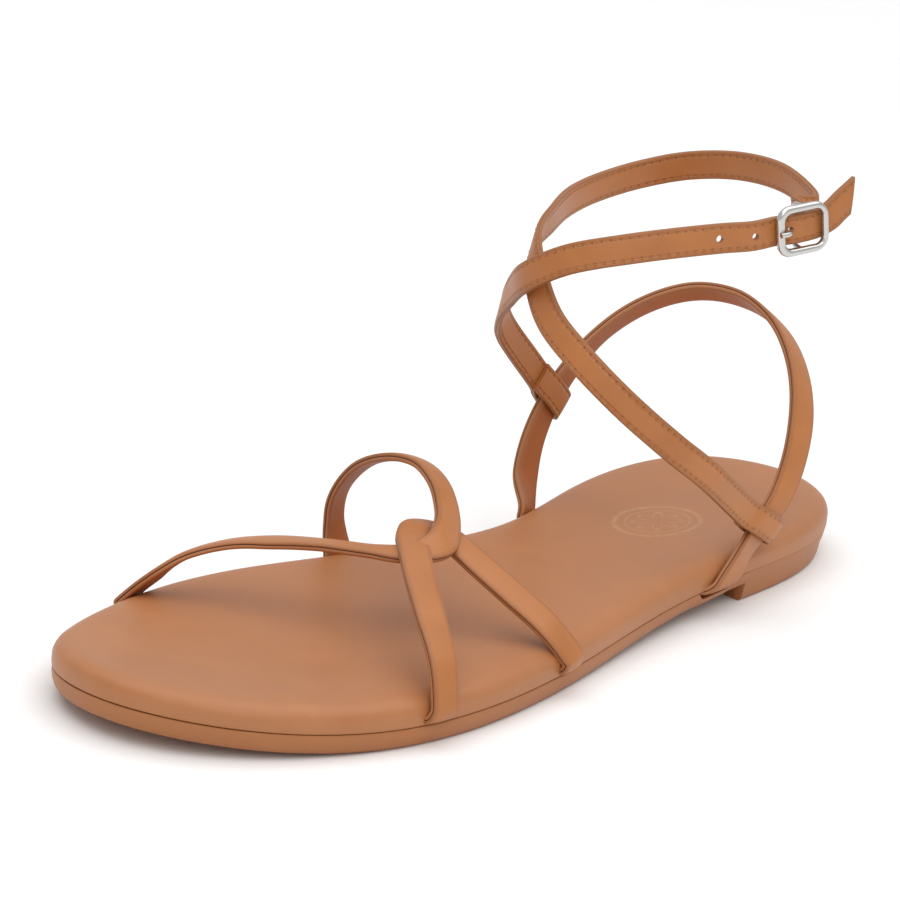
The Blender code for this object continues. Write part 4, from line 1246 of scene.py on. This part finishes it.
# A worn foil rosette within two rings, printed on the footbed
def foilMark(material, centre, radii):
    build = Tree(material.node_tree)
    shader = material.node_tree.nodes["Principled BSDF"]
    place = build.node("ShaderNodeTexCoord").outputs["Object"]
    parts = build.node("ShaderNodeSeparateXYZ", {"Vector": place})
    x = build.math("DIVIDE", build.math("SUBTRACT", parts.outputs["X"], centre[0]), radii[0])
    y = build.math("DIVIDE", build.math("SUBTRACT", parts.outputs["Y"], centre[1]), radii[1])
    far = build.math("SQRT", build.math("ADD", build.math("MULTIPLY", x, x), build.math("MULTIPLY", y, y)))

    def ring(at, wide):
        away = build.math("ABSOLUTE", build.math("SUBTRACT", far, at))
        softly = build.math("SMOOTH_MIN", build.math("DIVIDE", away, wide), 1.0, 0.2)
        return build.math("SUBTRACT", 1.0, softly, clamp=True)

    angle = build.math("ARCTAN2", y, x)
    petal = build.math("ABSOLUTE", build.math("COSINE", build.math("MULTIPLY", angle, 4.0)))
    reach = build.math("MULTIPLY_ADD", petal, 0.34, 0.20)
    away = build.math("ABSOLUTE", build.math("SUBTRACT", far, reach))
    rosette = build.math("SUBTRACT", 1.0, build.math("DIVIDE", away, 0.075), clamp=True)
    sheet = build.math("MAXIMUM", build.math("MAXIMUM", ring(0.93, 0.085), ring(0.70, 0.035)), rosette)
    sheet = build.range(sheet, 0.0, 1.0, 0.15, 0.6)
    sheet = build.math("MULTIPLY", sheet, build.math("LESS_THAN", far, 1.05))
    wear = build.node("ShaderNodeTexNoise", {"Vector": place, "Scale": 900.0, "Detail": 3.0})
    cover = build.math("MULTIPLY", sheet, build.range(wear.outputs["Fac"], 0.25, 1.0, 0.38, 0.62), clamp=True)
    surface = build.node("ShaderNodeNewGeometry")
    facing = build.node("ShaderNodeSeparateXYZ", {"Vector": surface.outputs["Normal"]}).outputs["Z"]
    cover = build.math("MULTIPLY", cover, build.math("GREATER_THAN", facing, 0.5))
    below = shader.inputs["Base Color"].links[0].from_socket
    printed = build.mix(build.math("MULTIPLY", cover, 0.36), below, (*look["foil"], 1.0))
    build.put(printed, shader.inputs["Base Color"])


mark = {"centre": (0.0035, -0.0304), "radii": (0.0095, 0.0138)}
foilMark(footbedMaterial, mark["centre"], mark["radii"])

# Buckle
steel, steelShader = newMaterial("nickel", look["steel"], 0.16, metallic=1.0)
build = Tree(steel.node_tree)
steelPlace = build.node("ShaderNodeTexCoord").outputs["Object"]
scuff = build.node("ShaderNodeTexNoise", {"Vector": steelPlace, "Scale": 700.0, "Detail": 3.0})
build.put(build.range(scuff.outputs["Fac"], 0.10, 0.24), steelShader.inputs["Roughness"])


def rounded(value):
    return math.copysign(abs(value) ** 0.82, value)


# A wire of varying section: sections gives (across, out) half sizes at each place
def wireObject(name, places, sections, outward, closed=False):
    places = np.array(places)
    if closed:
        ahead = np.roll(places, -1, axis=0) - np.roll(places, 1, axis=0)
    else:
        ahead = np.gradient(places, axis=0)
    ahead /= np.linalg.norm(ahead, axis=1)[:, None]
    sides = 18
    points = []
    faces = []
    for place, way, (wide, deep), out in zip(places, ahead, sections, outward):
        across = unit(np.cross(way, out))
        upward = np.cross(across, way)
        for i in range(sides):
            turn = 2 * math.pi * i / sides
            aside = across * rounded(math.cos(turn)) * wide
            points.append(place + aside + upward * rounded(math.sin(turn)) * deep)
    total = len(places)
    for ring in range(total if closed else total - 1):
        low = ring * sides
        high = ((ring + 1) % total) * sides
        for i in range(sides):
            j = (i + 1) % sides
            faces.append((low + i, low + j, high + j, high + i))
    if not closed:
        faces.append(tuple(range(sides))[::-1])
        faces.append(tuple(range((total - 1) * sides, total * sides)))
    return meshObject(name, points, faces, smooth=45)


corner = buckle["corner"]
halfWide = sideBar - corner
halfHigh = buckle["height"] / 2 - buckle["wire"] / 2 - corner
corners = [(halfWide, halfHigh), (-halfWide, halfHigh), (-halfWide, -halfHigh), (halfWide, -halfHigh)]


def onCorner(number, share):
    turn = math.pi * (number % 4 + share) / 2
    middle = corners[number % 4]
    return np.array([middle[0] + corner * math.cos(turn), middle[1] + corner * math.sin(turn)])


places = []
for number in range(4):
    places += [onCorner(number, i / 10) for i in range(11)]
    begin = places[-1]
    stop = onCorner(number + 1, 0.0)
    places += [begin + (stop - begin) * share for share in np.linspace(0, 1, 8)[1:-1]]
# The bar at the prong's tip is a little thicker, the opposite one a little thinner
sections = []
for a, u in places:
    leftness = ease(0.3, 1.0, -a / sideBar)
    rightness = ease(0.3, 1.0, a / sideBar)
    across = buckle["wire"] / 2 * (1 + 0.16 * leftness - 0.14 * rightness)
    sections.append((across, buckle["wire"] / 2 * (1 - 0.05 * rightness)))
framePlaces = [inBuckle(a, frameOut, u) for a, u in places]
framePiece = wireObject("buckleFrame", framePlaces, sections, [buckleOut] * len(places), closed=True)
reach = buckle["height"] / 2 - buckle["wire"] / 2
bend = buckle["barWire"]
legSteps = [
    (frameOut, reach),
    (bend, reach),
    (bend * 0.3, reach - bend * 0.3),
    (0.0, reach - bend),
    (0.0, 0.0),
]
legSteps += [(out, -up) for out, up in legSteps[-2::-1]]
legPlaces = routeCurve([inBuckle(0.0, out, up) for out, up in legSteps], 0.0005)
legSizes = [(buckle["barWire"] / 2,) * 2] * len(legPlaces)
barPiece = wireObject("centreBar", legPlaces, legSizes, [buckleAhead] * len(legPlaces))

prongTop = frameOut + buckle["wire"] / 2 + last["gap"] * 0.4 + buckle["prongWire"] / 2
prongSteps = [
    (-eyeRadius, 0.0),
    (-eyeRadius - buckle["prongWire"] * 0.4, eyeRadius),
    (prongAt, strapOverBar),
    (-sideBar + buckle["wire"] * 0.8, prongTop - last["gap"] / 2),
    (-sideBar - buckle["wire"] * 0.45, prongTop),
]
prongPlaces = routeCurve([inBuckle(a, o) for a, o in prongSteps], 0.0004)
prongRadius = buckle["prongWire"] / 2
prongSizes = [(prongRadius * (1.0 + 0.12 * share),) * 2 for share in np.linspace(0, 1, len(prongPlaces))]
prongPiece = wireObject("prong", prongPlaces, prongSizes, [buckleOut] * len(prongPlaces))
eyeTurns = np.linspace(0, 2 * math.pi, 33)[:-1]
eyePlaces = [inBuckle(eyeRadius * math.cos(turn), eyeRadius * math.sin(turn)) for turn in eyeTurns]
eyeSizes = [(prongRadius,) * 2] * len(eyePlaces)
eyePiece = wireObject("prongEye", eyePlaces, eyeSizes, [buckleUp] * len(eyePlaces), closed=True)
print("buckle made", flush=True)

# The ankle straps have one finish all over: clear() also gives every face the first material
for strap in (buckleStrap, holeStrap):
    strap.data.materials.clear()

# Finishes, in the order of a strap's zones; the cleft's near-black is painted shade, not a finish
finishesAndPaintedShade = [
    ([*toePieces, heelPiece], (toeFace, strapEdge, toeLining, paintedCleftShade)),
    ([buckleStrap, holeStrap], (ankleFace,)),
    ([outsolePiece], (soleMaterial,)),
    ([footbedPiece], (footbedMaterial,)),
    ([framePiece, barPiece, prongPiece, eyePiece], (steel,)),
]
for pieces, materials in finishesAndPaintedShade:
    for piece in pieces:
        for material in materials:
            piece.data.materials.append(material)

# Floor, light and camera
floorReach = 4.0
floorCorners = [(x * floorReach, y * floorReach, 0.0) for x, y in ((-1, -1), (1, -1), (1, 1), (-1, 1))]
floorMesh = bpy.data.meshes.new("floor")
floorMesh.from_pydata(floorCorners, [], [(0, 1, 2, 3)])
floor = bpy.data.objects.new("floor", floorMesh)
bpy.context.scene.collection.objects.link(floor)
floorMaterial = newMaterial("floorPaper", (0.88, 0.88, 0.88), 0.9)[0]
floorMesh.materials.append(floorMaterial)

world = bpy.data.worlds.new("studio")
bpy.context.scene.world = world
world.use_nodes = True
world.node_tree.nodes["Background"].inputs["Color"].default_value = (1.0, 1.0, 1.0, 1.0)
world.node_tree.nodes["Background"].inputs["Strength"].default_value = 0.68


def softLight(name, place, target, size, energy):
    data = bpy.data.lights.new(name, "AREA")
    data.shape = "DISK"
    data.size = size
    data.energy = energy
    obj = bpy.data.objects.new(name, data)
    bpy.context.scene.collection.objects.link(obj)
    way = np.array(target) - np.array(place)
    obj.location = place
    obj.rotation_euler = Matrix(axisTurn(-way)).to_euler()
    return obj


softLight("overhead", (0.1, -0.1, 1.3), (0.0, -0.08, 0.02), 2.4, 17.0)
softLight("front", (0.9, -0.9, 0.8), (0.0, -0.08, 0.04), 0.8, 3.0)

camera = {
    "turn": math.radians(35.9),
    "height": math.radians(17.1),
    "roll": math.radians(5.8),
    "aim": (-0.010, -0.098, 0.0395),
    "distance": 1.12,
    "lens": 198.0,
    "sensor": 36.0,
}
cameraData = bpy.data.cameras.new("camera")
cameraData.lens = camera["lens"]
cameraData.sensor_width = camera["sensor"]
cameraObject = bpy.data.objects.new("camera", cameraData)
bpy.context.scene.collection.objects.link(cameraObject)
turn, height, roll = camera["turn"], camera["height"], camera["roll"]
backward = Vector((math.sin(turn) * math.cos(height), -math.cos(turn) * math.cos(height), math.sin(height)))
level = Vector((math.cos(turn), math.sin(turn), 0.0))
upright = backward.cross(level)
right = level * math.cos(roll) + upright * math.sin(roll)
axes = Matrix((right, backward.cross(right), backward)).transposed().to_4x4()
cameraObject.matrix_world = Matrix.Translation(Vector(camera["aim"]) + backward * camera["distance"]) @ axes
bpy.context.scene.camera = cameraObject
bpy.context.scene.view_settings.view_transform = "Standard"

# Which piece stands for which node, and its slot
groups = [
    ([outsolePiece], "outsole", "sole"),
    ([footbedPiece], "footbed", "leather"),
    (toePieces, "toe_straps", "leather"),
    ([heelPiece], "heel_strap", "leather"),
    ([buckleStrap, *stitches[:2]], "ankle_strap_buckle_side", "leather"),
    ([holeStrap, *stitches[2:]], "ankle_strap_hole_side", "leather"),
    ([framePiece, barPiece], "buckle_frame", "steel"),
    ([prongPiece, eyePiece], "buckle_prong", "steel"),
]
for pieces, node, slot in groups:
    for piece in pieces:
        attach(piece, "root")
        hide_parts(node)
